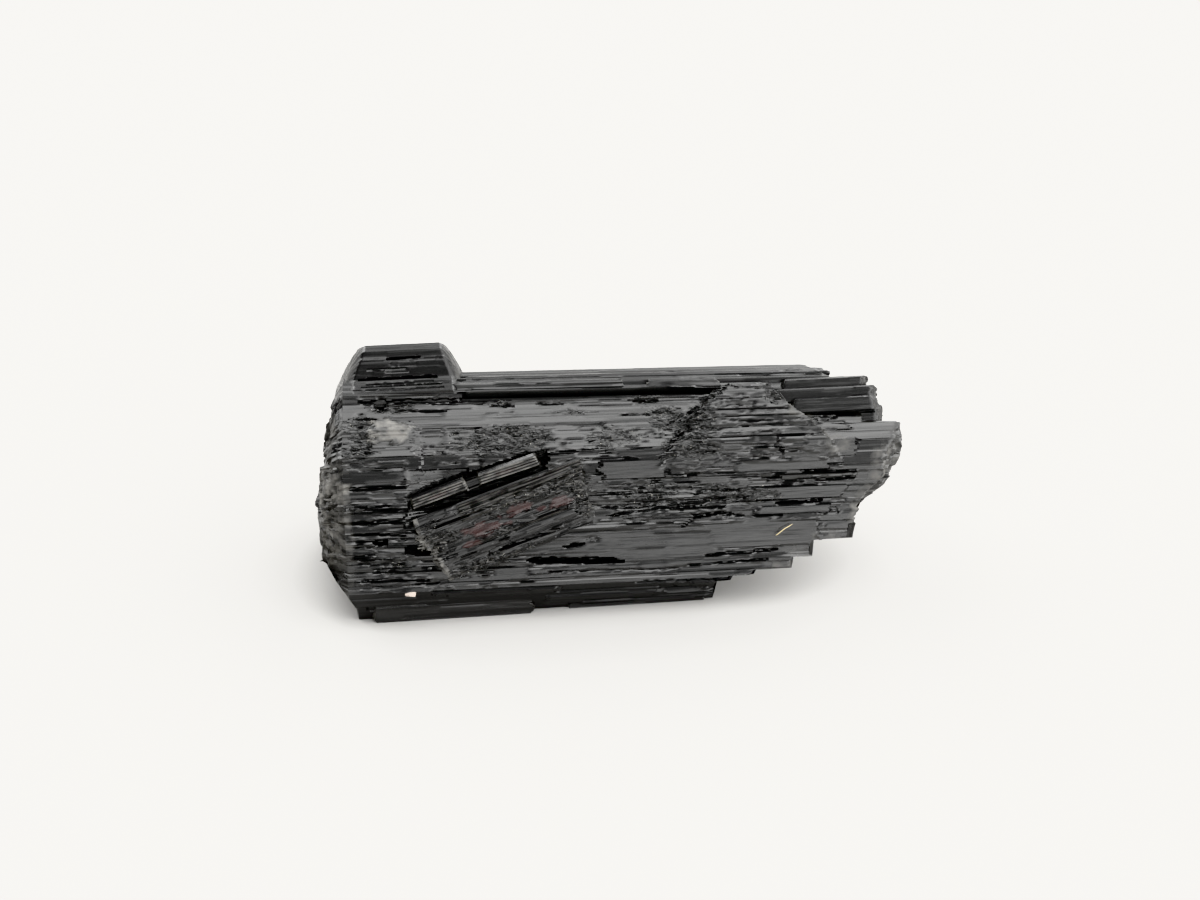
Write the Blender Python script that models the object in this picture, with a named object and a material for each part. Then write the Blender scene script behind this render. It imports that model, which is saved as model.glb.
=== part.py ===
"""A black tourmaline crystal lying on one of its prism faces, as one solid.

The crystal is a thick striated prism with parallel laths and rods grown onto it, a
short parallel prism along the back of its left half, and two crystals lodged
aslant in a recess of its front face. Its right end is broken off obliquely, in
steps; its left end is a rough, domed break. All of it grew as one body, so it is
one node.

Sizes are in millimetres and are scaled to metres once, in `build`. +X runs along
the crystal, the front face looks to -Y and +Z is up, with the floor at Z = 0.
"""

import math
import random

import bmesh
import bpy
from mathutils import Matrix, Vector

NODE = "tourmaline_crystal"
MM = 0.001
SEED = 23

# Outline of the prism, (y, z), from the front bottom edge up the front, over the
# crown and down the back. It tapers evenly from LEFT_X to RIGHT_X.
LEFT_X, RIGHT_X = -24.4, 24.0
OUTLINE_LEFT = (
    (-7.0, 0.0), (-8.1, 3.7), (-3.9, 15.6), (1.4, 18.1), (1.7, 18.8), (4.0, 19.2),
    (6.5, 18.0), (11.0, 13.2), (12.6, 7.2), (10.0, 1.6), (7.6, 0.0),
)
OUTLINE_RIGHT = (
    (-6.8, 0.0), (-8.0, 2.9), (-3.5, 14.6), (1.6, 16.8), (1.9, 17.2), (4.0, 17.5),
    (6.5, 16.6), (10.6, 12.2), (12.0, 6.8), (9.6, 1.6), (7.4, 0.0),
)
STRIPS = (3, 9, 4, 1, 1, 1, 4, 4, 3, 1, 1)  # striation ridges on each facet
RIDGE = 0.13  # how far a ridge stands out, or a furrow goes in

# Directions that the broken ends are measured along.
LEAN = Vector((0.0, 0.5, 0.866))  # "up the slope": up and towards the back
FRONT = Vector((0.0, -0.866, 0.5))  # square to LEAN, towards the viewer
ALONG = Vector((1.0, 0.0, 0.0))  # the crystal's long axis
# How far to the FRONT the front face is, and how much farther for each mm up LEAN.
FACE_FRONT, FACE_SLOPE = 8.65, 0.158

# The right end's underside rises in steps: (x, how far up the front face it starts),
# and it rises towards the back too. Above, the crown steps down from each (x, lift).
BREAK_BELOW = (
    (9.6, -1.7), (11.0, -1.2), (13.1, -0.8), (16.7, 0.4), (18.7, 1.7), (22.4, 3.0),
    (23.1, 4.3),
)
UNDERSIDE = Vector((0.0, 0.961, 0.276))  # along the underside, towards the back
BREAK_ABOVE = ((21.0, 16.9), (23.2, 16.0))
BEVEL_BELOW = ((-23.6, -2.2), (-24.4, -1.2), (-25.5, 0.6), (-26.3, 2.2))  # left end
DOME = ((-23.6, 0.0), (-24.4, 0.1), (-25.5, 0.8), (-26.3, 2.2), (-26.8, 4.4))  # (x, inset)
DOME_TILT, DOME_TILT_FROM = 0.047, 7.0  # how fast its top leans back, and from what height
HEART = Vector((0.0, 1.2, 8.6))  # the point that insets pull towards
BODY_END_X = 24.2

# Moves the middle of the whole crystal's footprint to the origin.
TO_MIDDLE = Vector((-0.45, -2.25, 0.0))

FACE_CORNER = 1  # the front face runs from this corner of the outline to the next


# ---------------------------------------------------------------- outline


def outline(x):
    """The prism's corners at x, as vectors."""
    t = (x - LEFT_X) / (RIGHT_X - LEFT_X)
    return [
        Vector((x, *(a + (b - a) * t for a, b in zip(left, right))))
        for left, right in zip(OUTLINE_LEFT, OUTLINE_RIGHT)
    ]


def skin(x, place):
    """The surface point at x and place, a corner's number plus a share of its facet,
    with the outward normal there."""
    corners = outline(x)
    first = int(place) % len(corners)
    a, b = corners[first], corners[(first + 1) % len(corners)]
    along = b - a
    return a + along * (place - int(place)), Vector((0, -along.z, along.y)).normalized()


def face_front(lift):
    """How far to the FRONT the front face is at this height up the slope."""
    return FACE_FRONT + FACE_SLOPE * lift


def ring(x, inset=0.0):
    """The prism's ridged outline at x, cut back by the left bevel and the crown's
    steps. Where one reaches, the ridges are left out, so that it never folds over."""
    draw = random.Random(SEED)
    lows = [lift for start, lift in BEVEL_BELOW if x <= start]
    highs = [lift for start, lift in BREAK_ABOVE if x >= start]
    low, high = max(lows, default=-99.0), min(highs, default=99.0)
    points = []
    for corner, count in enumerate(STRIPS):
        for strip in range(count):
            point, out = skin(x, corner + strip / count)
            ridge = draw.uniform(-RIDGE, RIDGE) if 0 < corner < 10 else 0.0
            if strip and 0 < corner < 9:
                ridge += RIDGE if strip % 2 else -RIDGE
            pull = Vector((x, HEART.y, HEART.z)) - point
            point += pull.normalized() * inset
            wobble = 0.16 * math.sin(2.3 * len(points))
            lift = point.dot(LEAN)
            if lift < low + wobble:
                point += LEAN * (low + wobble - lift)
            elif lift > high + wobble:
                point += LEAN * (high + wobble - lift)
            else:
                point += out * ridge
            if x < DOME[0][0]:
                point.x += DOME_TILT * max(0.0, lift - DOME_TILT_FROM) * (DOME[0][0] - x)
            points.append(point)
    return points


# ---------------------------------------------------------------- solids


def solid_from_rings(name, rings):
    """A closed mesh lofted through rings of equal count, its ends fanned shut."""
    mesh = bmesh.new()
    rows = [[mesh.verts.new(point) for point in points] for points in rings]
    for before, after in zip(rows, rows[1:]):
        for i in range(len(before)):
            j = (i + 1) % len(before)
            mesh.faces.new((before[i], before[j], after[j], after[i]))
    for row, end in ((rows[0], -1), (rows[-1], 1)):
        middle = sum((v.co for v in row), Vector()) / len(row)
        centre = mesh.verts.new(middle + Vector((0.25 * end, 0, 0)))
        for i in range(len(row)):
            mesh.faces.new((row[i], row[(i + 1) % len(row)], centre))
    bmesh.ops.recalc_face_normals(mesh, faces=mesh.faces)
    if mesh.calc_volume(signed=True) < 0:
        bmesh.ops.reverse_faces(mesh, faces=mesh.faces)
    bmesh.ops.triangulate(mesh, faces=mesh.faces)
    data = bpy.data.meshes.new(name)
    mesh.to_mesh(data)
    mesh.free()
    return bpy.data.objects.new(name, data)


def bar(name, start, end, across, out, profile, cuts=(0.0, 0.0)):
    """A prism from start to end. Its profile is in (across, out) and each end is
    slanted by its cut, the run along the prism per millimetre across."""
    along = (end - start).normalized()
    rings = []
    for origin, cut in ((start, cuts[0]), (end, cuts[1])):
        rings.append(
            [origin + across * a + out * o + along * (a * cut) for a, o in profile]
        )
    return solid_from_rings(name, rings)


def lath_profile(width, rise, sink, lean):
    """A flat-topped ridge: as wide as it says at its foot, sunk into what it is on."""
    half = width / 2
    return (
        (-half, -sink), (half, -sink), (half, rise * 0.35),
        (half * 0.62 + lean, rise), (-half * 0.55 + lean, rise), (-half * 0.95, rise * 0.3),
    )


def rod_profile(width, depth):
    """A rough hexagon, wider than it is deep."""
    a, o = width / 2, depth / 2
    return (
        (-a, -o * 0.5), (-a * 0.4, -o), (a * 0.6, -o), (a, -o * 0.3),
        (a * 0.7, o * 0.8), (-a * 0.3, o), (-a * 0.95, o * 0.35),
    )


def flat_rod_profile(width, depth):
    """A bar with a flat outer side, parallel to the front face."""
    a, o = width / 2, depth / 2
    return (
        (-a * 0.95, -o), (a * 0.95, -o), (a, o * 0.8), (a * 0.8, o + FACE_SLOPE * a),
        (-a * 0.8, o - FACE_SLOPE * a), (-a, o * 0.7),
    )


# ---------------------------------------------------------------- what grew


def prism():
    """The thick prism itself, with its stepped right break and domed left one."""
    rings = [ring(x, inset) for x, inset in reversed(DOME)]
    stops = [-18.0, -9.0, 0.0, 9.0]
    for start, _ in BREAK_ABOVE:
        stops += [start - 0.12, start]
    rings += [ring(x) for x in stops]
    rings.append(ring(BODY_END_X, 0.3))
    return solid_from_rings("prism", rings)


# Facets with laths: (corner, count, widest, (least and most rise)).
LATH_FACETS = (
    (0, 3, 0.9, (0.15, 0.35)), (1, 18, 1.0, (0.14, 0.34)), (2, 8, 0.8, (0.1, 0.2)),
    (6, 8, 1.1, (0.15, 0.4)), (7, 8, 1.2, (0.15, 0.4)), (8, 6, 1.1, (0.15, 0.35)),
)
BREAK_RUN = 16.0  # how far the right end's break runs along x over the front face
LATH_LENGTHS = (7.0, 19.0)
LATH_LEAST = 4.0
LATH_SPAN = (-23.0, 21.5)


def laths():
    """Striation laths over every facet but the one it lies on: each a thin ridge
    that starts and stops where it likes, so that the faces are stepped."""
    draw = random.Random(SEED + 1)
    made = []
    for corner, count, widest, rises in LATH_FACETS:
        for index in range(count):
            place = corner + (index + draw.uniform(0.25, 0.75)) / count
            length = draw.uniform(*LATH_LENGTHS)
            start = draw.uniform(LATH_SPAN[0], LATH_SPAN[1] - length)
            limit = BREAK_BELOW[0][0] + BREAK_RUN * max(0.0, place - FACE_CORNER)
            end = min(start + length, limit, LATH_SPAN[1])
            start = min(start, end - LATH_LEAST)
            a, out = skin(start, place)
            b, _ = skin(end, place)
            across = ALONG.cross(out)
            width, rise = draw.uniform(0.55, 1.0) * widest, draw.uniform(*rises)
            made.append(bar(
                f"lath_{corner}_{index}", a, b, across, out,
                lath_profile(width, rise, 0.7, draw.uniform(-0.06, 0.06)),
                (draw.uniform(-0.8, 0.8), draw.uniform(-0.8, 0.8)),
            ))
    return made


# Crown rods: (x start, x end, y, z, width, depth). They make the stepped top edge.
CROWN_RODS = (
    (-14.5, 20.4, 5.9, 17.75, 1.7, 1.3),
    (-12.6, 21.0, 4.3, 18.2, 1.5, 1.2),
    (-13.8, 2.0, 2.9, 18.6, 1.0, 0.9),
    (4.5, 20.7, 2.9, 17.9, 1.1, 1.0),
    (-23.2, -3.0, 7.8, 16.8, 1.6, 1.3),
    (-1.0, 22.6, 7.9, 15.9, 1.7, 1.4),
)
CROWN_FALL = 0.03  # of a crown rod, for each mm of its length

# Rods of the broken right end's front: (x start, x end, lift, proud, width, depth),
# where lift is up the slope and proud is how far they stand out of the front face.
FACE_RODS = (
    (16.0, 27.4, 11.7, -0.9, 1.5, 5.0),
    (14.0, 27.8, 10.4, 0.1, 1.6, 5.2),
    (13.0, 27.5, 9.2, 0.0, 1.5, 5.0),
    (15.0, 26.6, 8.2, 0.15, 1.5, 5.0),
    (13.5, 25.4, 7.2, 0.1, 1.5, 4.6),
    (14.0, 24.1, 6.1, 0.2, 1.5, 4.6),
    (12.0, 23.1, 5.2, 0.05, 1.5, 4.4),
    (12.5, 22.4, 3.9, 0.15, 1.6, 4.2),
    (10.0, 17.9, 1.6, 0.1, 1.5, 3.4),
)

# Rods above and behind them: (x start, x end, lift, front, width, depth).
END_RODS = (
    (17.0, 25.4, 16.1, 5.8, 1.3, 3.4),
    (16.0, 26.1, 15.2, 6.9, 1.2, 3.0),
    (17.5, 26.0, 14.2, 7.6, 1.3, 3.2),
    (15.0, 26.7, 13.3, 6.0, 1.2, 3.4),
    (15.0, 26.6, 12.2, 1.5, 2.4, 3.6),
    (14.0, 25.2, 9.4, -2.5, 2.6, 3.2),
    (14.0, 25.0, 13.0, -2.6, 2.4, 3.0),
    (12.0, 24.0, 7.2, -6.4, 2.2, 2.6),
    (13.0, 25.6, 6.8, 1.2, 2.6, 3.8),
    (13.0, 24.6, 11.6, -5.4, 2.0, 2.4),
    (13.0, 25.9, 9.9, 2.6, 2.0, 3.0),
    (13.0, 24.8, 5.6, -2.8, 2.2, 2.8),
    (13.0, 25.0, 15.2, 0.8, 2.0, 3.0),
    (12.0, 23.6, 9.8, -7.2, 2.0, 2.4),
)


def rods():
    """The rods of the crown and of the stepped right end."""
    made = []
    for index, (start, end, y, z, width, depth) in enumerate(CROWN_RODS):
        drop = CROWN_FALL * (end - start)
        made.append(bar(
            f"crown_rod_{index}", Vector((start, y, z)), Vector((end, y, z - drop)),
            Vector((0, 1, -0.1)).normalized(), Vector((0, 0.1, 1)).normalized(),
            rod_profile(width, depth), (0.3, -0.4),
        ))
    rods_at_end = [(*rod, rod_profile(*rod[4:])) for rod in END_RODS]
    for start, end, lift, proud, width, depth in FACE_RODS:
        front = face_front(lift) + proud - depth / 2
        profile = flat_rod_profile(width, depth)
        rods_at_end.append((start, end, lift, front, width, depth, profile))
    for index, (start, end, lift, front, _, _, profile) in enumerate(rods_at_end):
        foot = LEAN * lift + FRONT * front
        made.append(bar(
            f"end_rod_{index}", ALONG * start + foot, ALONG * end + foot,
            LEAN, FRONT, profile, (0.4, 0.35 * math.cos(1.7 * index)),
        ))
    return made


STUB_PITCH = 3.1  # between neighbouring rods of the rough left end
STUB_REACH = 7.0  # how far from the heart they stand
STUB_START = -22.5


def stubs():
    """Rods broken off at different lengths over the left end, close enough to cover
    it: a mosaic of steps, domed like the end as a whole."""
    draw = random.Random(SEED + 2)
    made = []
    for row in range(-2, 3):
        for column in range(-3, 4):
            y = HEART.y + STUB_PITCH * (column + 0.5 * (row % 2)) + draw.uniform(-0.4, 0.4)
            z = HEART.z + STUB_PITCH * 0.88 * row + draw.uniform(-0.4, 0.4)
            away = math.hypot(y - HEART.y, z - HEART.z)
            if away > STUB_REACH:
                continue
            end = -27.2 + 1.7 * (away / STUB_REACH) ** 2 + 0.05 * (z - HEART.z) + draw.uniform(0, 0.8)
            turn = draw.uniform(0, math.tau)
            across = Vector((0, math.cos(turn), math.sin(turn)))
            out = Vector((0, -math.sin(turn), math.cos(turn)))
            made.append(bar(
                f"stub_{row}_{column}", Vector((STUB_START, y, z)), Vector((end, y, z)), out, across,
                rod_profile(draw.uniform(3.2, 4.2), draw.uniform(3.0, 3.8)),
                (0.0, draw.uniform(-0.24, 0.24)),
            ))
    return made


# (name, x start, x end, y of its foot)
LEDGES = (("ledge_left", -22.4, -7.3, -6.75), ("ledge_right", -4.3, 8.8, -6.2))


def ledges():
    """The two long rods that stand out along the front bottom edge and carry it."""
    profile = ((-0.9, 0.0), (2.2, 0.0), (1.6, 2.4), (0.1, 2.9), (-0.75, 1.5))
    up, back = Vector((0, 0, 1)), Vector((0, 1, 0))
    return [
        bar(name, Vector((start, y, 0)), Vector((end, y + 0.1, 0)), back, up, profile, (-0.3, 0.15))
        for name, start, end, y in LEDGES
    ]


# Profile of the short prism on the back of the left half, (y, z), front first.
SPUR_PROFILE = (
    (1.6, 17.6), (1.7, 18.9), (2.3, 19.0), (3.0, 19.5), (3.3, 20.3), (3.9, 20.5),
    (4.1, 20.6), (4.2, 21.3), (6.6, 21.5), (8.2, 20.5), (9.3, 18.6), (9.8, 15.6), (6.0, 14.0),
)
# (x at the floor of the profile, x at its top) of the spur's two broken ends.
SPUR_LEFT, SPUR_RIGHT = (-24.0, -22.2), (-12.9, -14.4)


def spur():
    """The short parallel prism, standing above the crown at the left."""
    low, high = SPUR_PROFILE[0][1], SPUR_PROFILE[8][1]
    rings = []
    for ends, push in ((SPUR_LEFT, 0.0), (SPUR_LEFT, 1.0), (SPUR_RIGHT, -0.8), (SPUR_RIGHT, 0.0)):
        points = []
        for index, (y, z) in enumerate(SPUR_PROFILE):
            share = max(0.0, z - low) / (high - low)
            x = ends[0] + (ends[1] - ends[0]) * share + push
            shrink = 0.0 if push else 0.25
            ragged = 0.2 * math.sin(5.1 * index)
            points.append(Vector((x + ragged, y + shrink * (1.0 - y / 6.0), z - shrink * 0.4)))
        rings.append(points)
    return solid_from_rings("spur", rings)


# The three-cornered sheet over the right shoulder, from its foot on the front face up
# to its tip on the crown: (place, x of its left side, of its right side, thickness).
SHEET = (
    (1.83, 3.9, 22.6, 0.15), (2.0, 5.8, 21.4, 0.45), (2.3, 6.8, 19.3, 1.05),
    (2.68, 8.0, 17.0, 1.75), (2.91, 9.6, 16.0, 2.2), (3.1, 10.0, 15.2, 2.2),
    (3.69, 10.9, 13.4, 1.7), (4.2, 11.3, 12.7, 0.9),
)
SHEET_OUT = Vector((0.0, -0.427, 0.904))  # the way it is thick
SHEET_LEFT, SHEET_RIGHT = 0.7, 0.2  # how far its sides slant, for each mm of thickness
SHEET_SINK = 0.9
# Laths on the sheet: (x start, x end, which two rows of SHEET they lie between, width).
SHEET_LATHS = (
    (8.2, 19.0, 1, 1.0), (8.6, 16.8, 2, 1.1), (10.3, 15.6, 3, 0.9), (11.2, 14.2, 5, 0.8),
)
SHEET_LATH_RISE = 0.16


def sheet():
    """The sheet itself, and the laths that stripe it."""
    rings = []
    for place, left, right, thick in SHEET:
        foot = [skin(x, place)[0] - SHEET_OUT * SHEET_SINK for x in (left, right)]
        top_right = skin(right - SHEET_RIGHT * thick, place)[0] + SHEET_OUT * thick
        top_left = skin(left + SHEET_LEFT * thick, place)[0] + SHEET_OUT * thick
        rings.append([*foot, top_right, top_left])
    made = [solid_from_rings("sheet", rings)]
    for index, (start, end, row, width) in enumerate(SHEET_LATHS):
        (low, _, _, thin), (high, _, _, thick) = SHEET[row : row + 2]
        place, level = (low + high) / 2, SHEET_OUT * ((thin + thick) / 2)
        a, b = skin(start, place)[0] + level, skin(end, place)[0] + level
        made.append(bar(
            f"sheet_lath_{index}", a, b, ALONG.cross(SHEET_OUT), SHEET_OUT,
            lath_profile(width, SHEET_LATH_RISE, 0.6, 0.0), (0.7, 0.5),
        ))
    return made


# ---------------------------------------------------------------- the front face


def on_face(x, up, out):
    """A point at x, up the front face from its lower edge, and out from it."""
    corners = outline(x)
    a, b = corners[FACE_CORNER], corners[FACE_CORNER + 1]
    along = (b - a).normalized()
    return a + along * up + Vector((0, -along.z, along.y)) * out


def across_and_out(start, end):
    """Directions across a crystal that lies in the front face, and out of it."""
    out = skin(start.x, FACE_CORNER + 0.5)[1]
    along = (end - start).normalized()
    return out.cross(along).normalized(), out


BROAD_PROFILE = (
    (-3.3, -1.6), (3.3, -1.6), (3.5, -0.1), (2.6, 0.45), (1.3, 0.5), (0.9, 0.2),
    (-0.3, 0.28), (-1.1, 0.62), (-2.5, 0.5), (-3.4, -0.15),
)
THIN_PROFILE = (
    (-0.7, -1.6), (0.7, -1.6), (0.75, -0.2), (0.45, 0.25), (-0.4, 0.3), (-0.75, -0.15),
)
# (name, (x, up, out) of the start, of the end, profile, the ends' slants)
LODGED = (
    ("lodged_broad", (-16.6, 3.5, 0.0), (-2.0, 8.4, -0.2), BROAD_PROFILE, (-0.22, 0.1)),
    ("lodged_rod_left", (-18.1, 8.1, -0.15), (-13.2, 9.75, -0.05), THIN_PROFILE, (0.1, -0.15)),
    ("lodged_rod_right", (-12.0, 10.1, -0.15), (-6.6, 11.7, -0.05), THIN_PROFILE, (0.1, -0.15)),
    ("lodged_joint", (-13.6, 9.4, -0.7), (-11.6, 10.1, -0.7), rod_profile(1.0, 1.2), (0.0, 0.0)),
)


def lodged_crystals():
    """The broad crystal and the broken thin rod that lie aslant in the recess."""
    made = []
    for name, near, far, profile, cuts in LODGED:
        start, end = on_face(*near), on_face(*far)
        across, out = across_and_out(start, end)
        made.append(bar(name, start, end, across, out, profile, cuts))
    return made


# Cuts into the front face, along it: (name, (x, up) of the start, of the end, then
# how far the cut reaches below and above that line, its depth, and its ends' slants).
FACE_CUTS = (
    ("recess", (-18.7, 8.0), (-6.2, 11.9), -1.95, 1.6, 1.3, (-0.1, 0.5)),
    ("recess_top", (-18.5, 9.9), (-13.1, 10.3), -1.6, 1.1, 1.2, (0.1, -0.3)),
    ("slot_long", (-7.6, 2.35), (1.1, 2.05), -0.38, 0.38, 1.2, (0.6, -0.5)),
    ("slot_upper", (-4.5, 3.5), (-2.6, 3.8), -0.16, 0.16, 0.6, (0.6, -0.5)),
    ("slot_left", (-19.0, 3.75), (-16.6, 3.7), -0.65, 0.65, 1.0, (0.6, -0.5)),
    ("slot_hole", (-21.7, 4.7), (-20.6, 4.7), -0.35, 0.35, 0.8, (0.6, -0.5)),
    ("slot_right", (8.8, 2.1), (13.0, 2.25), -0.16, 0.16, 0.4, (0.6, -0.5)),
    ("slot_upper_right", (15.4, 7.0), (20.5, 7.1), -0.22, 0.22, 0.4, (0.6, -0.5)),
    ("slot_face_end", (17.8, 9.9), (22.4, 9.7), -0.3, 0.3, 0.6, (0.6, -0.5)),
)
CLEAR = 1.5  # how far a cutter stands out of the face that it cuts
BEYOND = 31.0  # x past everything at the right end
UNDER_PROFILE = ((-6.0, -30.0), (34.0, -30.0), (34.0, 0.0), (-6.0, 0.0))
HOLLOW_LIFT, HOLLOW_FRONT, HOLLOW_SPAN = 12.7, 9.0, (23.6, 29.0)
HOLLOW_PROFILE = ((-0.75, -4.2), (0.5, -4.2), (0.75, 3.0), (-0.9, 3.0))
DENT_PLACE, DENT_SPAN = 2.95, (-21.4, -19.9)
DENT_PROFILE = ((-0.9, -0.8), (0.8, -0.7), (0.9, 1.2), (-1.0, 1.2))


def recess_and_pits():
    """Cutters: the recess behind the lodged crystals, the slots of the front face, the
    hollow under the right end's upper rods, its stepped underside, and the dent at the
    left shoulder."""
    made = []
    for name, (x0, up0), (x1, up1), low, high, depth, cuts in FACE_CUTS:
        start, end = on_face(x0, up0, 0.0), on_face(x1, up1, 0.0)
        across, out = across_and_out(start, end)
        profile = ((low, -depth), (high * 0.75, -depth), (high, CLEAR), (low, CLEAR))
        made.append(bar(name, start, end, across, out, profile, cuts))
    foot = LEAN * HOLLOW_LIFT + FRONT * HOLLOW_FRONT
    start, end = (Vector((x, 0, 0)) + foot for x in HOLLOW_SPAN)
    made.append(bar("hollow", start, end, LEAN, FRONT, HOLLOW_PROFILE, (0.4, 0.0)))
    up = ALONG.cross(UNDERSIDE)
    for index, (x, lift) in enumerate(BREAK_BELOW):
        edge = LEAN * lift + FRONT * face_front(lift)
        end = ALONG * (BEYOND + 0.1 * index) + edge
        made.append(bar(f"under_{index}", ALONG * x + edge, end, UNDERSIDE, up, UNDER_PROFILE))
    (start, out), (end, _) = (skin(x, DENT_PLACE) for x in DENT_SPAN)
    made.append(bar("dent", start, end, ALONG.cross(out), out, DENT_PROFILE, (0.4, -0.4)))
    return made


# ---------------------------------------------------------------- assembly


def clear_scene():
    """Removes the start-up scene's objects."""
    for obj in list(bpy.data.objects):
        bpy.data.objects.remove(obj, do_unlink=True)


def helper_collection(name, objects):
    """A collection of operands, kept out of the render."""
    group = bpy.data.collections.new(name)
    bpy.context.scene.collection.children.link(group)
    for obj in objects:
        obj.hide_render = True
        obj.display_type = "WIRE"
        group.objects.link(obj)
    return group


def boolean(target, name, group, operation):
    """Adds an exact Boolean with every object of the group."""
    modifier = target.modifiers.new(name, "BOOLEAN")
    modifier.operand_type = "COLLECTION"
    modifier.collection = group
    modifier.operation = operation
    modifier.solver = "EXACT"
    modifier.use_self = operation == "UNION"


def black_tourmaline():
    """A glossy, all but black material."""
    material = bpy.data.materials.new("black_tourmaline")
    material.use_nodes = True
    shader = material.node_tree.nodes["Principled BSDF"]
    shader.inputs["Base Color"].default_value = (0.012, 0.012, 0.013, 1.0)
    shader.inputs["Roughness"].default_value = 0.28
    shader.inputs["IOR"].default_value = 1.64
    return material


def build():
    """Builds the crystal, in metres, as one object with live Booleans."""
    clear_scene()
    crystal = prism()
    crystal.name = NODE
    bpy.context.scene.collection.objects.link(crystal)
    grown = laths() + rods() + stubs() + ledges() + [spur()] + sheet()
    cutters = recess_and_pits()
    lodged = lodged_crystals()
    for obj in [crystal, *grown, *cutters, *lodged]:
        obj.data.transform(Matrix.Scale(MM, 4) @ Matrix.Translation(TO_MIDDLE))
    boolean(crystal, "grown", helper_collection("grown", grown), "UNION")
    boolean(crystal, "pits", helper_collection("pits", cutters), "DIFFERENCE")
    boolean(crystal, "lodged", helper_collection("lodged", lodged), "UNION")
    crystal.data.materials.append(black_tourmaline())


build()
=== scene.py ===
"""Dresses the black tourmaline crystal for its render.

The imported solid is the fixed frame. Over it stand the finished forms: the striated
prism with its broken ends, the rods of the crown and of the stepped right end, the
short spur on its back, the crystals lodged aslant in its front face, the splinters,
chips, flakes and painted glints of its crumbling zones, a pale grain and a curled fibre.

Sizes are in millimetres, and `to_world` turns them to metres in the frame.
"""

import logging
import math
from dataclasses import dataclass, field
from enum import Enum
from typing import Callable, Sequence

import bpy
import numpy as np
from mathutils import Matrix, Vector


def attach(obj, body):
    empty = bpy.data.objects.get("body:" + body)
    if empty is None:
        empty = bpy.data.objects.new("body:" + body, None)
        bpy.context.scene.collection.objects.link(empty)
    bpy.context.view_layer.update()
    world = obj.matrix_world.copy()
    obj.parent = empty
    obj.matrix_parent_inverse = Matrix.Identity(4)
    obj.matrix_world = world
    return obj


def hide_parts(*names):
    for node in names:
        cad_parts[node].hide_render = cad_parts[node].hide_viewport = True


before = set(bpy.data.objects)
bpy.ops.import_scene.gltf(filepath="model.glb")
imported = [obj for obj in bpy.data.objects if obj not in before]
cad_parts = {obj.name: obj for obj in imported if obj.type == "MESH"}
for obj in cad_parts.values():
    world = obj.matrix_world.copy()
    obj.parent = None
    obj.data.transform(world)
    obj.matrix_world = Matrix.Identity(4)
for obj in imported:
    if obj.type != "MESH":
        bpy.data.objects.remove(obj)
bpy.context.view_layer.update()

LOG = logging.getLogger("tourmaline")
NODE = "tourmaline_crystal"
BODY = "root"

Array = np.ndarray
Object = bpy.types.Object
Material = bpy.types.Material
Output = bpy.types.NodeSocket
Pair = tuple[float, float]
Triple = tuple[float, float, float]
Knots = tuple[Pair, ...]
Row = tuple[float, ...]
Rows = tuple[Row, ...]


# ---- the crystal's sizes

LEFT_X, RIGHT_X = -24.4, 24.0  # where the two outlines stand
OUTLINE_LEFT = (  # (y, z) of the corners, the front bottom one first
    (-7.0, 0.0), (-8.1, 3.7), (-3.9, 15.6), (1.4, 18.1), (1.7, 18.8), (4.0, 19.2),
    (6.5, 18.0), (11.0, 13.2), (12.6, 7.2), (10.0, 1.6), (7.6, 0.0),
)
OUTLINE_RIGHT = (
    (-6.8, 0.0), (-8.0, 2.9), (-3.5, 14.6), (1.6, 16.8), (1.9, 17.2), (4.0, 17.5),
    (6.5, 16.6), (10.6, 12.2), (12.0, 6.8), (9.6, 1.6), (7.4, 0.0),
)
LEAN = np.array((0.0, 0.5, 0.866))  # up the slope of the right end's break
FRONT = np.array((0.0, -0.866, 0.5))  # square to it, towards the viewer
HEART = (1.2, 8.6)  # (y, z) that the domed ends close on
TO_MIDDLE = np.array((-0.45, -2.25, 0.0))  # from the drawing's origin to the frame's
MM = 0.001  # metres
BURIED = -100.0  # the way across a face that nothing shows
FAR = 99.0  # beyond any part of the crystal


def to_world(points: Array) -> Array:
    """Returns points, in mm from the crystal's drawing origin, in frame metres."""
    return (points + TO_MIDDLE) * MM


def ramp(at: Array, knots: Sequence[Pair], **beyond: float) -> Array:
    """Returns what straight lines between (at, value) knots give."""
    return np.interp(at, *zip(*knots), **beyond)


# ---- noise

PRIMES = (374761393, 668265263, 974634777, 1274126177)  # that stir the cells' numbers
WORD, HALF_WORD = 0xFFFFFFFF, 0xFFFF
KEYS = 10_000  # how many patterns a draw picks among


def hashed(ix: Array, iy: Array, seed: int) -> Array:
    """Gives every whole-number cell a fixed random share from 0 to 1.

    Args:
        ix: The cells' first whole numbers.
        iy: Their second ones.
        seed: Picks one of many such patterns.

    Returns:
        The shares, in the shape that ix and iy broadcast to.
    """
    first, second, third, last = PRIMES
    n = (ix.astype(np.int64) * first + iy.astype(np.int64) * second + seed * third) & WORD
    n = ((n ^ (n >> 13)) * last) & WORD
    return ((n ^ (n >> 16)) & HALF_WORD) / HALF_WORD


def value_noise(x: Array, y: Array, seed: int) -> Array:
    """Gives smooth noise with about one bump to a unit of x and y.

    Args:
        x: The points' first coordinates.
        y: Their second ones.
        seed: Picks the pattern.

    Returns:
        The noise at each point, 0 to 1.
    """
    ix, iy = np.floor(x), np.floor(y)
    fx, fy = x - ix, y - iy
    fx, fy = fx * fx * (3 - 2 * fx), fy * fy * (3 - 2 * fy)
    low = hashed(ix, iy, seed) * (1 - fx) + hashed(ix + 1, iy, seed) * fx
    high = hashed(ix, iy + 1, seed) * (1 - fx) + hashed(ix + 1, iy + 1, seed) * fx
    return low * (1 - fy) + high * fy


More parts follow.
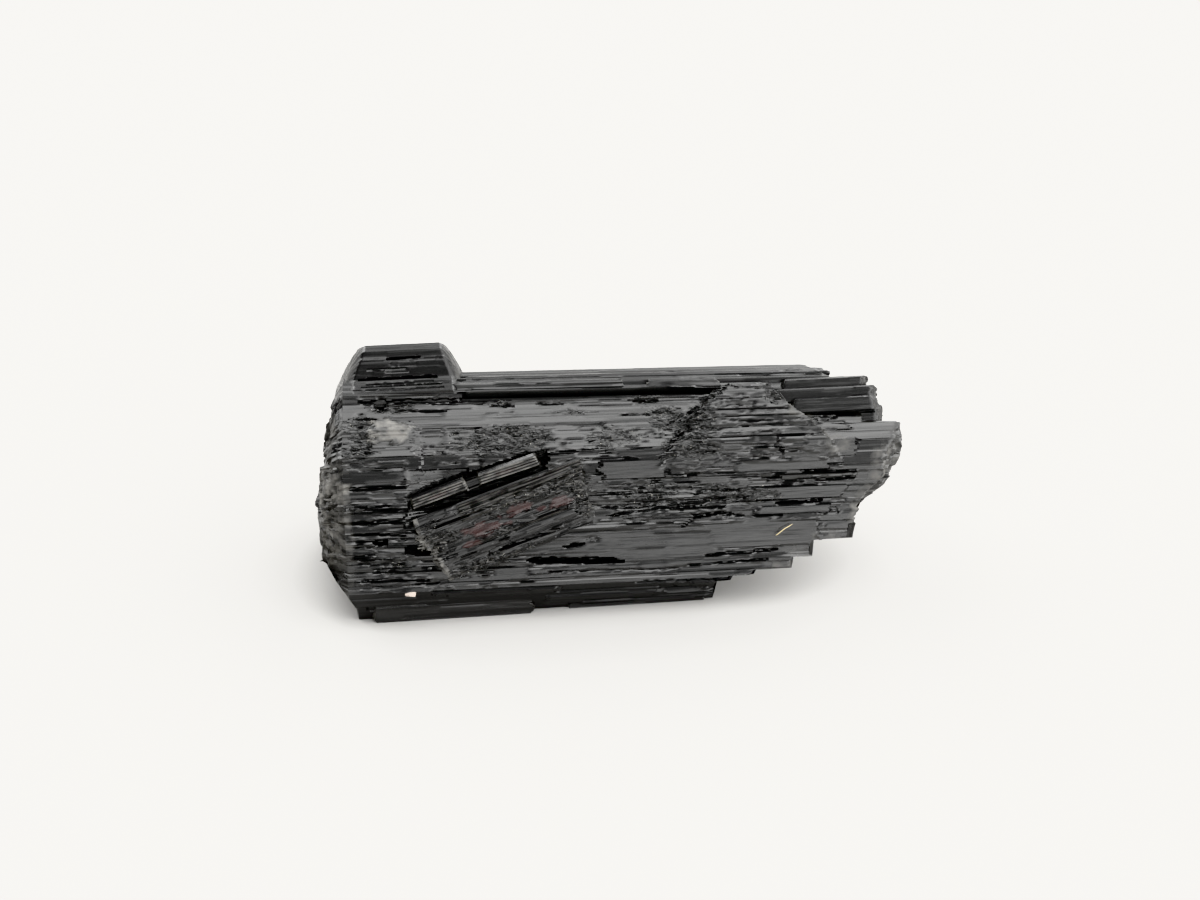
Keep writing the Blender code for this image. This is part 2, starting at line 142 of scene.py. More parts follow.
@dataclass(frozen=True)
class Cells:
    """Irregular cells over a plane: which cell each point is in, and where in it."""

    share: Array  # the cell's own random share
    tilt_x: Array
    tilt_y: Array
    dx: Array  # the point's place from the cell's middle
    dy: Array
    rim: Array  # 0 on the border between two cells

    @property
    def slope(self) -> Array:
        """How far the cell's own tilted facet stands out at each point."""
        return self.tilt_x * self.dx + self.tilt_y * self.dy

    @staticmethod
    def over(x: Array, y: Array, seed: int) -> "Cells":
        """Sorts points into cells about one unit across.

        Args:
            x: The points' first coordinates.
            y: Their second ones, in the same shape.
            seed: Picks the pattern.

        Returns:
            The cells that the points are in.
        """
        ix, iy = np.floor(x), np.floor(y)
        best, second = np.full(x.shape, FAR), np.full(x.shape, FAR)
        kx, ky = np.zeros(x.shape), np.zeros(x.shape)
        dx, dy = np.zeros(x.shape), np.zeros(x.shape)
        for step_x in (-1, 0, 1):
            for step_y in (-1, 0, 1):
                cx, cy = ix + step_x, iy + step_y
                ax = x - cx - hashed(cx, cy, seed)
                ay = y - cy - hashed(cx, cy, seed + 1)
                away = np.hypot(ax, ay)
                closer = away < best
                second = np.where(closer, best, np.minimum(second, away))
                best = np.where(closer, away, best)
                kx, ky = np.where(closer, cx, kx), np.where(closer, cy, ky)
                dx, dy = np.where(closer, ax, dx), np.where(closer, ay, dy)
        return Cells(
            share=hashed(kx, ky, seed + 2),
            tilt_x=hashed(kx, ky, seed + 3) * 2 - 1,
            tilt_y=hashed(kx, ky, seed + 4) * 2 - 1,
            dx=dx, dy=dy, rim=second - best,
        )


# ---- relief


SPLINTER = 0.17  # the width of one splinter of a patch's end
SLANT_SPLINTER = 0.15  # and of a slanting edge
LANES = 3.7  # how many splinters move together
LEAST_HALF = 0.11  # half the width of the narrowest furrow that still shows


@dataclass
class Relief:
    """Heights, in mm, over the side of a prism: rows run along it, columns round it."""

    x: Array  # (rows,) place along the prism
    s: Array  # (columns,) way round it
    seed: int
    height: Array = field(init=False)
    frost_and_highlight: Array = field(init=False)  # how pale and matte: worn stone, and painted highlights and glints
    crumb: Array = field(init=False)  # how crumbled
    brown: Array = field(init=False)  # how brown

    def __post_init__(self) -> None:
        """Starts from a plain surface."""
        self.height = np.zeros((len(self.x), len(self.s)))
        self.frost_and_highlight, self.crumb, self.brown = (np.zeros_like(self.height) for _ in range(3))
        self.draw = np.random.default_rng(self.seed)

    def key(self) -> int:
        """Draws the seed of a new pattern."""
        return int(self.draw.integers(1, KEYS))

    def size(self, limits: Pair) -> float:
        """Draws a size between two limits, a small one as often as a large one."""
        return math.exp(self.draw.uniform(math.log(limits[0]), math.log(limits[1])))

    def grid(self) -> Sequence[Array]:
        """Returns the x and the way round of every point."""
        return np.broadcast_arrays(self.x[:, None], self.s[None, :])

    def line(self, s: float, half: float, peak: float = 1.0) -> Array:
        """Returns a share that falls from its peak, cut at 1, to 0 at half its width."""
        return np.clip(peak - np.abs(self.s - s) / half, 0, 1)[None, :]

    def whiten(self, share: Array) -> None:
        """Makes the surface at least so pale."""
        self.frost_and_highlight = np.maximum(self.frost_and_highlight, share)

    def loosen(self, share: Array) -> None:
        """Makes the surface at least so crumbled."""
        self.crumb = np.maximum(self.crumb, share)

    def jitter(self, grain: float, amount: float) -> Array:
        """Draws a ragged run of offsets along an edge that crosses the strips.

        Args:
            grain: The width of one splinter.
            amount: How far they differ.

        Returns:
            An offset for each column.
        """
        key = self.key()
        fine = hashed(np.floor(self.s / grain), np.zeros_like(self.s), key) - 0.5
        broad = hashed(np.floor(self.s / (grain * LANES)), np.zeros_like(self.s), key + 1) - 0.5
        return (fine + 1.3 * broad) * amount

    def patch(self, x0: float, x1: float, s0: float, s1: float, ragged: float = 0.3) -> Array:
        """Marks a patch with straight long sides and splintered ends.

        Args:
            x0: Where it starts along the prism.
            x1: Where it ends.
            s0: Its lower side, on the way round.
            s1: Its upper side.
            ragged: How unevenly its two ends are broken.

        Returns:
            True wherever the patch is.
        """
        start, end = x0 + self.jitter(SPLINTER, ragged), x1 + self.jitter(SPLINTER, ragged)
        inside = (self.s >= s0) & (self.s <= s1)
        return (self.x[:, None] >= start) & (self.x[:, None] <= end) & inside

    def between(self, left: Sequence[Pair], right: Sequence[Pair], ragged: float) -> Array:
        """Marks a patch between two slanting edges.

        Args:
            left: (s, x) points of its left edge, s rising.
            right: (s, x) points of its right edge, s rising.
            ragged: How unevenly both edges are broken.

        Returns:
            True wherever the patch is.
        """
        start = ramp(self.s, left) + self.jitter(SLANT_SPLINTER, ragged)
        end = ramp(self.s, right) + self.jitter(SLANT_SPLINTER, ragged)
        inside = self.s >= max(left[0][0], right[0][0])
        inside &= self.s <= min(left[-1][0], right[-1][0])
        return (self.x[:, None] >= start) & (self.x[:, None] <= end) & inside

    def striate(self, widths: Pair, offset: float, tilt: float, breaks: int) -> None:
        """Lays flat, slightly tilted strips side by side along the whole prism.

        Args:
            widths: The narrowest and widest strip.
            offset: How far a strip stands out or in.
            tilt: The steepest cross slope of a strip.
            breaks: How often, at most, a strip steps to another height on its way.
        """
        place, ends = float(self.s[0]), float(self.s[-1]) + 1.0
        while place < ends:
            width = self.size(widths)
            inside = (self.s >= place) & (self.s < place + width)
            slope = self.draw.uniform(-tilt, tilt) * (self.s - place - width / 2)
            level = np.full((len(self.x), 1), self.draw.uniform(-offset, offset))
            for _ in range(int(self.draw.integers(0, breaks + 1))):
                at = self.draw.uniform(self.x[0], self.x[-1])
                level[self.x > at] += self.draw.uniform(-offset, offset) * 0.8
            self.height += np.where(inside, np.clip(level, -1.4 * offset, 1.4 * offset) + slope, 0.0)
            place += width

    def comb(self, amount: float, run: float) -> None:
        """Adds hairline striations.

        Args:
            amount: Their height.
            run: How far along the prism one hairline keeps its height.
        """
        columns = np.arange(len(self.s), dtype=float)
        key = self.key()
        steady = hashed(columns, columns * 0, key) - 0.5
        moving = value_noise(self.x[:, None] / run, columns[None, :] * 1.0, key + 7) - 0.5
        self.height += amount * (steady + 1.2 * moving)

    def slabs(self, count: int, where: Row, thick: Pair, lengths: Pair, widths: Pair,
              ragged: float = 0.35) -> None:
        """Scatters thin slabs and shallow troughs with splintered ends.

        Args:
            count: How many.
            where: The least and most x and the least and most s of their middles.
            thick: The least and most height; a negative one is a trough.
            lengths: The least and most length.
            widths: The least and most width.
            ragged: How unevenly their ends are broken.
        """
        for _ in range(count):
            x, s = self.draw.uniform(where[0], where[1]), self.draw.uniform(where[2], where[3])
            length, width = self.size(lengths), self.size(widths)
            inside = self.patch(x - length / 2, x + length / 2, s - width / 2, s + width / 2, ragged)
            slope = self.draw.uniform(-0.12, 0.12) * (self.s - s)
            rise = self.draw.uniform(*thick) + slope
            self.height = np.where(inside, self.height + rise, self.height)

    def groove(self, start: Pair, end: Pair, width: float, depth: float, ragged: float = 0.15) -> None:
        """Cuts a furrow, steep enough on both sides to look black.

        Args:
            start: Its (x, s) start.
            end: Its (x, s) end.
            width: How wide it is at its middle.
            depth: How deep it is.
            ragged: How uneven its sides are.
        """
        share = (self.x - start[0]) / max(end[0] - start[0], 1e-6)
        inside = (share >= 0) & (share <= 1)
        middle = start[1] + (end[1] - start[1]) * share
        wave = value_noise(self.x / 0.5, self.x * 0, self.key()) - 0.5
        half = width / 2 * np.clip(np.minimum(share, 1 - share) * 9, 0.25, 1) + wave * ragged
        away = np.abs(self.s[None, :] - middle[:, None] - wave[:, None] * ragged * 0.7)
        deep = np.clip(1 - away / np.maximum(half[:, None], LEAST_HALF), 0, 1) ** 0.7 * inside[:, None]
        bottom = np.maximum(depth, 0.95 * width)
        self.height = np.minimum(self.height, self.height * (1 - deep) - bottom * deep)

    def crumble(self, share: Array, size: Pair, depth: float, seed: int) -> None:
        """Breaks the surface into small tilted facets where share is above 0.

        Args:
            share: How broken each point is, 0 to 1.
            size: The facets' length along the prism and width round it.
            depth: How far facets drop at most.
            seed: Picks the pattern.
        """
        x, s = self.grid()
        warp = value_noise(x / 1.1, s / 0.6, seed + 9) * 0.9
        cells = Cells.over(x / size[0] + warp, s / size[1] + warp * 0.6, seed)
        fall = depth * (cells.share ** 3) + 0.42 * depth * cells.slope
        crack = depth * 0.9 * np.clip(1 - cells.rim / 0.14, 0, 1) * (cells.share > 0.7)
        self.height -= (fall + crack) * share

    def blotches(self, x: float, s: float, reach: Pair, seed: int, grain: float = 1.0,
                 edge: float = 0.25) -> Array:
        """Marks an uneven blot around a place.

        Args:
            x: Its middle along the prism.
            s: Its middle round it.
            reach: Its half length and half width.
            seed: Picks its uneven outline.
            grain: How large the unevenness is, in mm.
            edge: How softly it ends.

        Returns:
            A share of 0 to 1 at every point.
        """
        gx, gs = self.grid()
        away = np.hypot((gx - x) / reach[0], (gs - s) / reach[1])
        broad = value_noise(gx / (grain * 1.8), gs / grain, seed)
        fine = value_noise(gx / (grain * 0.6), gs / (grain * 0.3), seed + 3)
        rough = broad * 0.9 + fine * 0.5
        return np.clip((1.25 - away - rough * 0.75) / edge, 0, 1)


# ---- meshes


@dataclass
class MeshPart:
    """Points, faces and surface shares of one closed form, still in mm."""

    points: Array
    quads: Array
    triangles: Array
    shares: dict[str, Array] = field(default_factory=dict)

    @staticmethod
    def from_rings(rings: Array, shares: dict[str, Array] | None = None) -> "MeshPart":
        """Closes a tube of rings with a fan at each end.

        Args:
            rings: (rows, columns, 3) points.
            shares: Named (rows, columns) values for the surface.

        Returns:
            The closed form, its faces outwards.
        """
        rows, columns = rings.shape[:2]
        poles = np.stack([rings[0].mean(axis=0), rings[-1].mean(axis=0)])
        points = np.concatenate([rings.reshape(-1, 3), poles])
        index = np.arange(rows * columns).reshape(rows, columns)
        beside = np.roll(index, -1, axis=1)
        quads = np.stack([index[:-1], index[1:], beside[1:], beside[:-1]], axis=-1).reshape(-1, 4)
        first = np.stack([np.full(columns, rows * columns), index[0], beside[0]], axis=-1)
        last = np.stack([np.full(columns, rows * columns + 1), beside[-1], index[-1]], axis=-1)
        part = MeshPart(points, quads, np.concatenate([first, last]))
        for name, values in (shares or {}).items():
            ends = [values[0].mean(), values[-1].mean()]
            part.shares[name] = np.concatenate([values.reshape(-1), ends])
        if part.volume() < 0:
            part.quads, part.triangles = part.quads[:, ::-1], part.triangles[:, ::-1]
        return part

    def volume(self) -> float:
        """Measures the form.

        Returns:
            Its volume, negative where the faces point inwards.
        """
        tris = np.concatenate([self.quads[:, [0, 1, 2]], self.quads[:, [0, 2, 3]], self.triangles])
        a, b, c = (self.points[tris[:, i]] for i in range(3))
        return float(np.einsum("ij,ij->i", a, np.cross(b, c)).sum() / 6)

    @staticmethod
    def joined(parts: Sequence["MeshPart"]) -> "MeshPart":
        """Puts several closed forms with the same shares together.

        Args:
            parts: The forms.

        Returns:
            All of them as one form.
        """
        starts = np.cumsum([0] + [len(part.points) for part in parts])
        return MeshPart(
            np.concatenate([part.points for part in parts]),
            np.concatenate([part.quads + start for part, start in zip(parts, starts)]),
            np.concatenate([part.triangles + start for part, start in zip(parts, starts)]),
            {name: np.concatenate([part.shares[name] for part in parts]) for name in parts[0].shares},
        )

    def to_object(self, name: str, crease: float = 28.0) -> Object:
        """Makes the form an object of the scene.

        Args:
            name: The object's name.
            crease: The angle, in degrees, past which an edge is sharp.

        Returns:
            The object, at the origin, with its place in its mesh.
        """
        mesh = bpy.data.meshes.new(name)
        faces = self.quads.tolist() + self.triangles.tolist()
        grounded = np.maximum(self.points, (-np.inf, -np.inf, 0.0))
        mesh.from_pydata(to_world(grounded).tolist(), [], faces)
        mesh.update()
        for share, values in self.shares.items():
            layer = mesh.attributes.new(share, "FLOAT", "POINT")
            layer.data.foreach_set("value", values.astype(np.float32))
        mesh.shade_smooth()
        mesh.set_sharp_from_angle(angle=math.radians(crease))
        obj = bpy.data.objects.new(name, mesh)
        bpy.context.scene.collection.objects.link(obj)
        return obj


@dataclass(frozen=True)
class Section:
    """A closed outline sampled at even steps, with outward directions."""

    corners: Knots
    rounded: float = 0.35  # how near to a corner the directions turn

    def sampled(self, step: float) -> tuple[Array, Array, Array]:
        """Samples the outline.

        Args:
            step: About how far apart the points are.

        Returns:
            Points (n, 2), outward normals (n, 2) and the way round (n,).
        """
        corners = np.array(self.corners)
        sides = np.roll(corners, -1, axis=0) - corners
        lengths = np.hypot(*sides.T)
        beside = np.roll(corners, -1, axis=0)
        area = np.sum(corners[:, 0] * beside[:, 1] - beside[:, 0] * corners[:, 1])
        turn = 1.0 if area > 0 else -1.0
        facet = np.stack([sides[:, 1], -sides[:, 0]], axis=1) / lengths[:, None] * turn
        starts = np.concatenate([[0], np.cumsum(lengths)])
        points, normals, ways = [], [], []
        for i, length in enumerate(lengths):
            count = max(2, round(length / step))
            for j in range(count):
                t = j / count
                points.append(corners[i] + sides[i] * t)
                before, after = facet[i - 1], facet[(i + 1) % len(facet)]
                near = min(1.0, t * length / self.rounded), min(1.0, (1 - t) * length / self.rounded)
                normal = facet[i] + before * (1 - near[0]) + after * (1 - near[1])
                normals.append(normal / np.hypot(*normal))
                ways.append(starts[i] + length * t)
        return np.array(points), np.array(normals), np.array(ways)


# ---- forms


@dataclass(frozen=True)
class Taper:
    """The prism's outline, which tapers evenly from its left end to its right one."""

    left: Knots = OUTLINE_LEFT
    right: Knots = OUTLINE_RIGHT

    def lengths(self) -> Array:
        """Returns the width of each facet at the middle of the prism."""
        middle = (np.array(self.left) + np.array(self.right)) / 2
        return np.hypot(*(np.roll(middle, -1, axis=0) - middle).T)

    def way(self, place: float) -> float:
        """Returns how far round the outline a place is, in mm from corner 0."""
        starts = np.concatenate([[0.0], np.cumsum(self.lengths())])
        return float(np.interp(place, range(len(starts)), starts))

    def at(self, x: Array, places: Array) -> tuple[Array, Array]:
        """Finds the outline's points.

        Args:
            x: (rows,) places along the prism.
            places: (columns,) corner numbers plus a share of the side.

        Returns:
            (rows, columns) of y and of z.
        """
        t = ((x - LEFT_X) / (RIGHT_X - LEFT_X))[:, None]
        corner = np.arange(len(self.left) + 1)
        yz = []
        for axis in (0, 1):
            first = [pair[axis] for pair in self.left + self.left[:1]]
            last = [pair[axis] for pair in self.right + self.right[:1]]
            a, b = np.interp(places, corner, first), np.interp(places, corner, last)
            yz.append(a[None, :] * (1 - t) + b[None, :] * t)
        return yz[0], yz[1]

    def normals(self, places: Array, reach: float = 0.3) -> Array:
        """Finds the outward directions round the prism.

        Args:
            places: (columns,) corner numbers plus a share of the side.
            reach: How near to a corner they turn.

        Returns:
            (columns, 2) of y and z.
        """
        middle = (np.array(self.left) + np.array(self.right)) / 2
        side = np.roll(middle, -1, axis=0) - middle
        length = np.hypot(*side.T)
        facet = np.stack([-side[:, 1], side[:, 0]], axis=1) / length[:, None]
        index = np.floor(places).astype(int) % len(length)
        share = places - np.floor(places)
        low = np.clip(1 - share * length[index] / reach, 0, 1)[:, None]
        high = np.clip(1 - (1 - share) * length[index] / reach, 0, 1)[:, None]
        turned = facet[index] + low * facet[index - 1] + high * facet[(index + 1) % len(length)]
        return turned / np.hypot(*turned.T)[:, None]


@dataclass(frozen=True)
class Underside:
    """The stepped break below the right end, which rises towards the back."""

    steps: Knots = (  # (x, how far up the front face it starts)
        (9.6, -1.7), (11.0, -1.2), (13.1, -0.8), (16.7, 0.4), (18.7, 1.7), (22.4, 3.0), (23.1, 4.3),
    )
    face_front: float = 8.65  # how far along FRONT the front face is
    face_slope: float = 0.158  # and how much farther for each mm up LEAN
    backwards: Pair = (0.961, 0.276)  # (y, z) along it
    lane: float = 0.8  # the width of a lane, which has each step at an x of its own
    shifts: Pair = (0.7, 1.6)  # how far those differ, in front and farther back
    front_lanes: float = 3.0  # how far along FRONT the lanes in front reach back
    uneven: float = 0.4
    seed: int = 44

    def trimmed(self, points: Array) -> tuple[Array, Array]:
        """Lifts what is below the underside onto it.

        Args:
            points: (..., 3) points.

        Returns:
            The points, and how far up from the break each is, or FAR beside it.
        """
        x, y, z = points[..., 0], points[..., 1], points[..., 2]
        lift, front = points @ LEAN, points @ FRONT
        lane = np.floor(front / self.lane)
        spread = np.where(front < self.front_lanes, self.shifts[1], self.shifts[0])
        shift = (hashed(lane, lane * 0, self.seed) - 0.5) * spread
        starts, lifts = np.array(self.steps).T
        step = np.searchsorted(starts, x + shift, side="right") - 1
        low = lifts[np.maximum(step, 0)]
        edge = LEAN * low[..., None] + FRONT * (self.face_front + self.face_slope * low)[..., None]
        dy, dz = y - edge[..., 1], z - edge[..., 2]
        away = np.maximum(dy * self.backwards[0] + dz * self.backwards[1], 0.0)
        cells = Cells.over(x / 0.9, away / 0.7, self.seed + 1)
        rough = self.uneven * cells.share * np.clip(away / 0.6, 0, 1)
        above = dz * self.backwards[0] - dy * self.backwards[1] + rough
        under = (step >= 0) & (above < 0)
        new_y = edge[..., 1] + away * self.backwards[0] + rough * self.backwards[1]
        new_z = edge[..., 2] + away * self.backwards[1] - rough * self.backwards[0]
        trimmed = np.stack([x, np.where(under, new_y, y), np.where(under, new_z, z)], axis=-1)
        return trimmed, np.where(step >= 0, lift - low, FAR)


END_INSETS = (0.0, 0.02, 0.05, 0.1, 0.17, 0.26, 0.38, 0.52, 0.7)  # of a bar's rings, as shares
OUTER = 0.15  # how far outwards a direction points, at least, on a bar's outer side


@dataclass
class Bar:
    """A striated crystal of even outline between two points, with broken ends."""

    start: Triple
    end: Triple
    across: Triple
    out: Triple
    profile: Knots  # (across, out)
    seed: int
    start_slant: Pair = (0.0, 0.0)  # run along it per mm across and per mm out
    end_slant: Pair = (0.0, 0.0)
    step: float = 0.13  # between points round it
    run: float = 0.3  # between points along it
    ragged: float = 0.22  # how uneven its ends are
    dome: float = 0.18  # how far its ends swell
    chamfer: Pair = (1.0, 0.0)  # how deep its far end is bevelled below its outer side, and how long
    worn: float = 0.45  # how pale its ends are
    evened: float = 0.0  # how much of its relief is evened out
    dull: float = 0.0  # how little it mirrors, and its ends twice as little
    by_width: bool = False  # whether its relief goes by the way across its outer side

    def form(self, dress: Callable[[Relief], None]) -> MeshPart:
        """Builds the crystal.

        Args:
            dress: Gives its surface its relief.

        Returns:
            Its closed form.
        """
        flat, normals, way = Section(self.profile).sampled(self.step)
        start, end = np.array(self.start), np.array(self.end)
        length = float(np.linalg.norm(end - start))
        along = (end - start) / length
        rows = max(6, round(length / self.run))
        over = np.where(normals[:, 1] > OUTER, flat[:, 0], BURIED) if self.by_width else way
        relief = Relief(np.linspace(0.0, length, rows), over, self.seed)
        dress(relief)
        relief.height *= 1 - self.evened
        insets = np.array(END_INSETS[1:])
        scales = np.concatenate([1 - insets[::-1], np.ones(rows), 1 - insets])
        base = np.clip(np.arange(len(scales)) - len(insets), 0, rows - 1)
        shape = flat[None] + normals[None] * relief.height[base][:, :, None]
        middle = flat.mean(axis=0)
        shape = middle + (shape - middle) * scales[:, None, None]
        a, o = shape[..., 0], shape[..., 1]
        first = a * self.start_slant[0] + o * self.start_slant[1]
        last = length + a * self.end_slant[0] + o * self.end_slant[1]
        swell = self.dome * (np.sqrt(1 - np.minimum(scales, 1.0) ** 2) - 0.6)[:, None]
        bevel = self.chamfer[1] * np.clip(1 - (flat[:, 1].max() - o) / self.chamfer[0], 0, 1)
        level = np.clip(scales / 0.4, 0, 1)[:, None]
        first = first - self.broken(a, o, self.seed) * level - swell
        last = last + self.broken(a, o, self.seed + 50) * level + swell - bevel
        share = (np.clip(relief.x[base], 0, length) / length)[:, None]
        place = first * (1 - share) + last * share
        points = (start + along * place[..., None] + np.array(self.across) * a[..., None]
                  + np.array(self.out) * o[..., None])
        ends = 1 - np.clip((scales[:, None] - 0.9) / 0.1, 0, 1) + 0 * a
        shares = {
            "along": place + self.seed * 3.7, "around": np.broadcast_to(way, a.shape) + self.seed,
            "frost_and_highlight": np.maximum(relief.frost_and_highlight[base], ends * self.worn),
            "crumb": relief.crumb[base], "brown": relief.brown[base], "broken": (ends > 0.5) * 1.0,
            "dull": self.dull * (1 + ends),
        }
        return MeshPart.from_rings(points, shares)

    def broken(self, a: Array, o: Array, seed: int) -> Array:
        """Returns how far each spot of an end stands out from its mean slant."""
        cells = Cells.over(a / 0.55, o / 0.4, seed)
        return self.ragged * (cells.share - 0.5 + 0.35 * cells.slope)


@dataclass
class Prism:
    """The thick prism, with its domed left end and its right one broken in steps."""

    seed: int = 41
    steps: Row = (  # between points round it, facet by facet
        0.115, 0.105, 0.105, 0.1, 0.11, 0.14, 0.3, 0.34, 0.36, 0.4, 0.8,
    )
    run: float = 0.24  # between points along it
    side_end: float = 27.7  # x where its sides would end if none of them were broken shorter
    drawn_in: float = 19.0  # x from where on its sides are drawn in to the break
    dome_insets: Row = (  # of the left end's rings
        0.1, 0.22, 0.36, 0.5, 0.66, 0.82, 1.0, 1.18, 1.36, 1.55, 1.75, 1.95, 2.2, 2.45, 2.7, 3.0,
        3.35, 3.65, 3.95, 4.3, 4.65, 5.0, 5.4, 5.8, 6.2, 6.6, 7.0, 7.4, 7.8, 8.2, 8.6, 8.9,
    )
    dome_x: Knots = (  # (inset, x) of the left end
        (0.0, -23.6), (0.1, -24.4), (0.8, -25.5), (2.2, -26.25), (4.4, -26.65), (9.0, -26.95),
    )
    dome_tilt: float = 0.047  # how much the left end leans back, higher up
    heart_reach: float = 9.2  # the inset that closes the left end
    end_scales: Row = (  # of the right end's rings
        0.985, 0.97, 0.955, 0.94, 0.925, 0.91, 0.895, 0.88, 0.86, 0.84, 0.82, 0.79, 0.76, 0.72,
        0.68, 0.63, 0.58, 0.52, 0.46, 0.39, 0.31, 0.22, 0.12,
    )
    shell: Knots = (  # (how far up LEAN, x that the front shell reaches)
        (3.2, 22.6), (4.6, 23.4), (5.6, 24.5), (6.6, 25.9), (7.7, 26.9), (8.7, 27.4), (9.6, 27.7),
        (11.0, 27.9), (12.3, 27.5), (12.5, 24.0),
    )
    core: float = 24.3  # x that the rest of it reaches
    shell_depth: float = 4.2
    right_bevel: Knots = (  # (how far up LEAN, how far its front edge is cut back)
        (4.5, 0.3), (6.5, 1.0), (8.5, 1.8), (11.5, 2.0), (12.4, 0.6),
    )
    underside: Underside = Underside()
    break_above: Knots = ((21.0, 16.9), (23.2, 16.0))  # (x, the top beyond it)
    lane: float = 0.6  # the width of a lane, which breaks at an x of its own
    bevel: Knots = (  # (x, how far up LEAN the left end starts)
        (-26.3, 2.2), (-25.5, 0.6), (-24.4, -1.2), (-23.6, -2.6),
    )
    rim_paleness: Knots = (  # (z, how pale the left end's rim is)
        (3.0, 0.0), (5.0, 0.25), (8.0, 0.8), (12.5, 1.0), (14.5, 0.5), (17.0, 0.35),
    )
    # (z, how dull the left end is): painted shade, strongest low down
    left_painted_shade: Knots = ((3.0, 1.5), (8.0, 1.2), (10.5, 0.4), (15.0, 0.6))
    right_paleness: Knots = ((5.0, 0.2), (8.0, 1.0), (13.0, 0.9), (14.0, 0.1))
    foot_painted_shade: float = 0.4  # of the facet below the main face: painted shade, as it mirrors less
    pitted: Knots = ((8.0, 0.15), (11.0, 0.4), (13.0, 1.0))  # (z, share of pits there)
    taper: Taper = Taper()

    def columns(self) -> Array:
        """Spreads the grid's columns over the facets.

        Returns:
            Their places, as corner numbers plus a share of the side.
        """
        places = []
        for corner, (length, step) in enumerate(zip(self.taper.lengths(), self.steps)):
            count = max(2, round(length / step))
            places += [corner + i / count for i in range(count)]
        return np.array(places)

    def form(self) -> MeshPart:
        """Builds the prism.

        Returns:
            Its closed form, with its surface shares.
        """
        places = self.columns()
        way = np.array([self.taper.way(place) for place in places])
        side = np.arange(LEFT_X + 0.1, self.side_end, self.run)
        relief = FaceRelief(side, way, self.seed, taper=self.taper)
        relief.dress()
        left = np.array(self.dome_insets[::-1])
        dome = ramp(left, self.dome_x)
        x = np.concatenate([dome, side, np.full(len(self.end_scales), self.side_end)])
        scale = np.concatenate([1 - left / self.heart_reach, np.ones(len(side)), self.end_scales])
        base = np.clip(np.arange(len(x)) - len(left), 0, len(side) - 1)
        y, z = self.taper.at(x, places)
        normal = self.taper.normals(places)
        whole = np.clip((scale[:, None] - 0.9) / 0.1, 0, 1)
        broken = 1 - whole
        worn_off = broken * np.clip((scale[:, None] - 0.3) / 0.4, 0, 1) * self.chips(x[:, None], way[None])
        out = relief.height[base] * whole + worn_off
        y = HEART[0] + (y + normal[:, 0] * out - HEART[0]) * scale[:, None]
        z = HEART[1] + (z + normal[:, 1] * out - HEART[1]) * scale[:, None]
        x = np.broadcast_to(x[:, None], y.shape).copy()
        level = np.clip(scale[:, None] / np.where(x < 0, 0.55, 0.3), 0, 1)
        x -= np.where(x < 0, 1, 0) * self.mosaic(y, z) * broken * level
        x = self.drawn(x, y, z, level)
        x, y, z, worn = self.cut_back(x, y, z)
        at_end = np.clip((np.arange(len(base)) - len(left) - len(side) + 8) / 4, 0, 1)[:, None]
        worn = np.maximum(worn, at_end * self.right_wear(x, y, z))
        frost_and_highlight = np.maximum(relief.frost_and_highlight[base] * whole, np.maximum(self.rim_wear(x, y, z), worn))
        in_front = np.clip((self.taper.way(6) - way) / 2, 0.25, 1)[None]
        foot = (way < self.taper.way(1))[None]
        shares = {
            "along": x, "around": np.broadcast_to(way, x.shape),
            "frost_and_highlight": frost_and_highlight, "crumb": np.clip(relief.crumb[base] * whole * in_front, 0, 1),
            "brown": relief.brown[base], "broken": np.broadcast_to((broken > 0.5) * 1.0, x.shape),
            # The dull share: dull blots on the left end with painted shade strongest low down, and painted
            # shade on the facet below the main face.
            "dull": np.maximum(self.shade(y, z, broken * (x < 0)), self.foot_painted_shade * foot),
        }
        return MeshPart.from_rings(np.stack([x, y, z], axis=-1), shares)

    def right_wear(self, x: Array, y: Array, z: Array) -> Array:
        """Returns how pale each point would be on the face of the right end."""
        mottle = value_noise(y / 0.8, z / 0.7, 6) + 0.7 * (value_noise(y / 0.25, x / 0.3, 7) - 0.5)
        return ramp(z, self.right_paleness) * mottle

    def rim_wear(self, x: Array, y: Array, z: Array) -> Array:
        """Wears the left end pale in blots, but for its pits.

        Args:
            x: The points' x.
            y: Their y.
            z: Their z.

        Returns:
            How pale each is.
        """
        rim = np.clip((-23.7 - x) / 0.3 + 2.0 * (value_noise(y / 1.1, z / 1.1, 5) - 0.5), 0, 1)
        blots = np.clip(2.6 * value_noise(y / 1.3, z / 1.6, 15) - 0.75, 0, 1)
        return rim * (blots * (1 - self.pits(y, z)) * ramp(z, self.rim_paleness))

    def shade(self, y: Array, z: Array, left: Array) -> Array:
        """Returns how dull the points of the left end are, in blots, with painted shade strongest low down.
        """
        blots = np.clip(2 * value_noise(y / 1.2, z / 1.2, 16) - 0.1, 0, 1) * left
        return blots * ramp(z, self.left_painted_shade)

    def mosaic(self, y: Array, z: Array) -> Array:
        """Breaks the left end into a mosaic of steps.

        Args:
            y: The points' y.
            z: Their z.

        Returns:
            How far each stands out.
        """
        coarse = Cells.over(y / 1.5, z / 1.3, self.seed + 60)
        fine = Cells.over(y / 0.55, z / 0.5, self.seed + 70)
        out = 0.65 * (coarse.share - 0.5) + 0.2 * (fine.share - 0.5) - 0.8 * self.pits(y, z)
        return out + 0.27 * coarse.slope

    def pits(self, y: Array, z: Array) -> Array:
        """Pits the left end, most of all above.

        Args:
            y: The points' y.
            z: Their z.

        Returns:
            How deep each is in a pit, 0 to 1.
        """
        broad = value_noise(y / 0.9, z / 0.8, self.seed + 61)
        fine = value_noise(y / 0.3, z / 0.3, self.seed + 62)
        return np.clip((broad + 0.3 * fine - 0.72) * 7, 0, 1) * ramp(z, self.pitted)

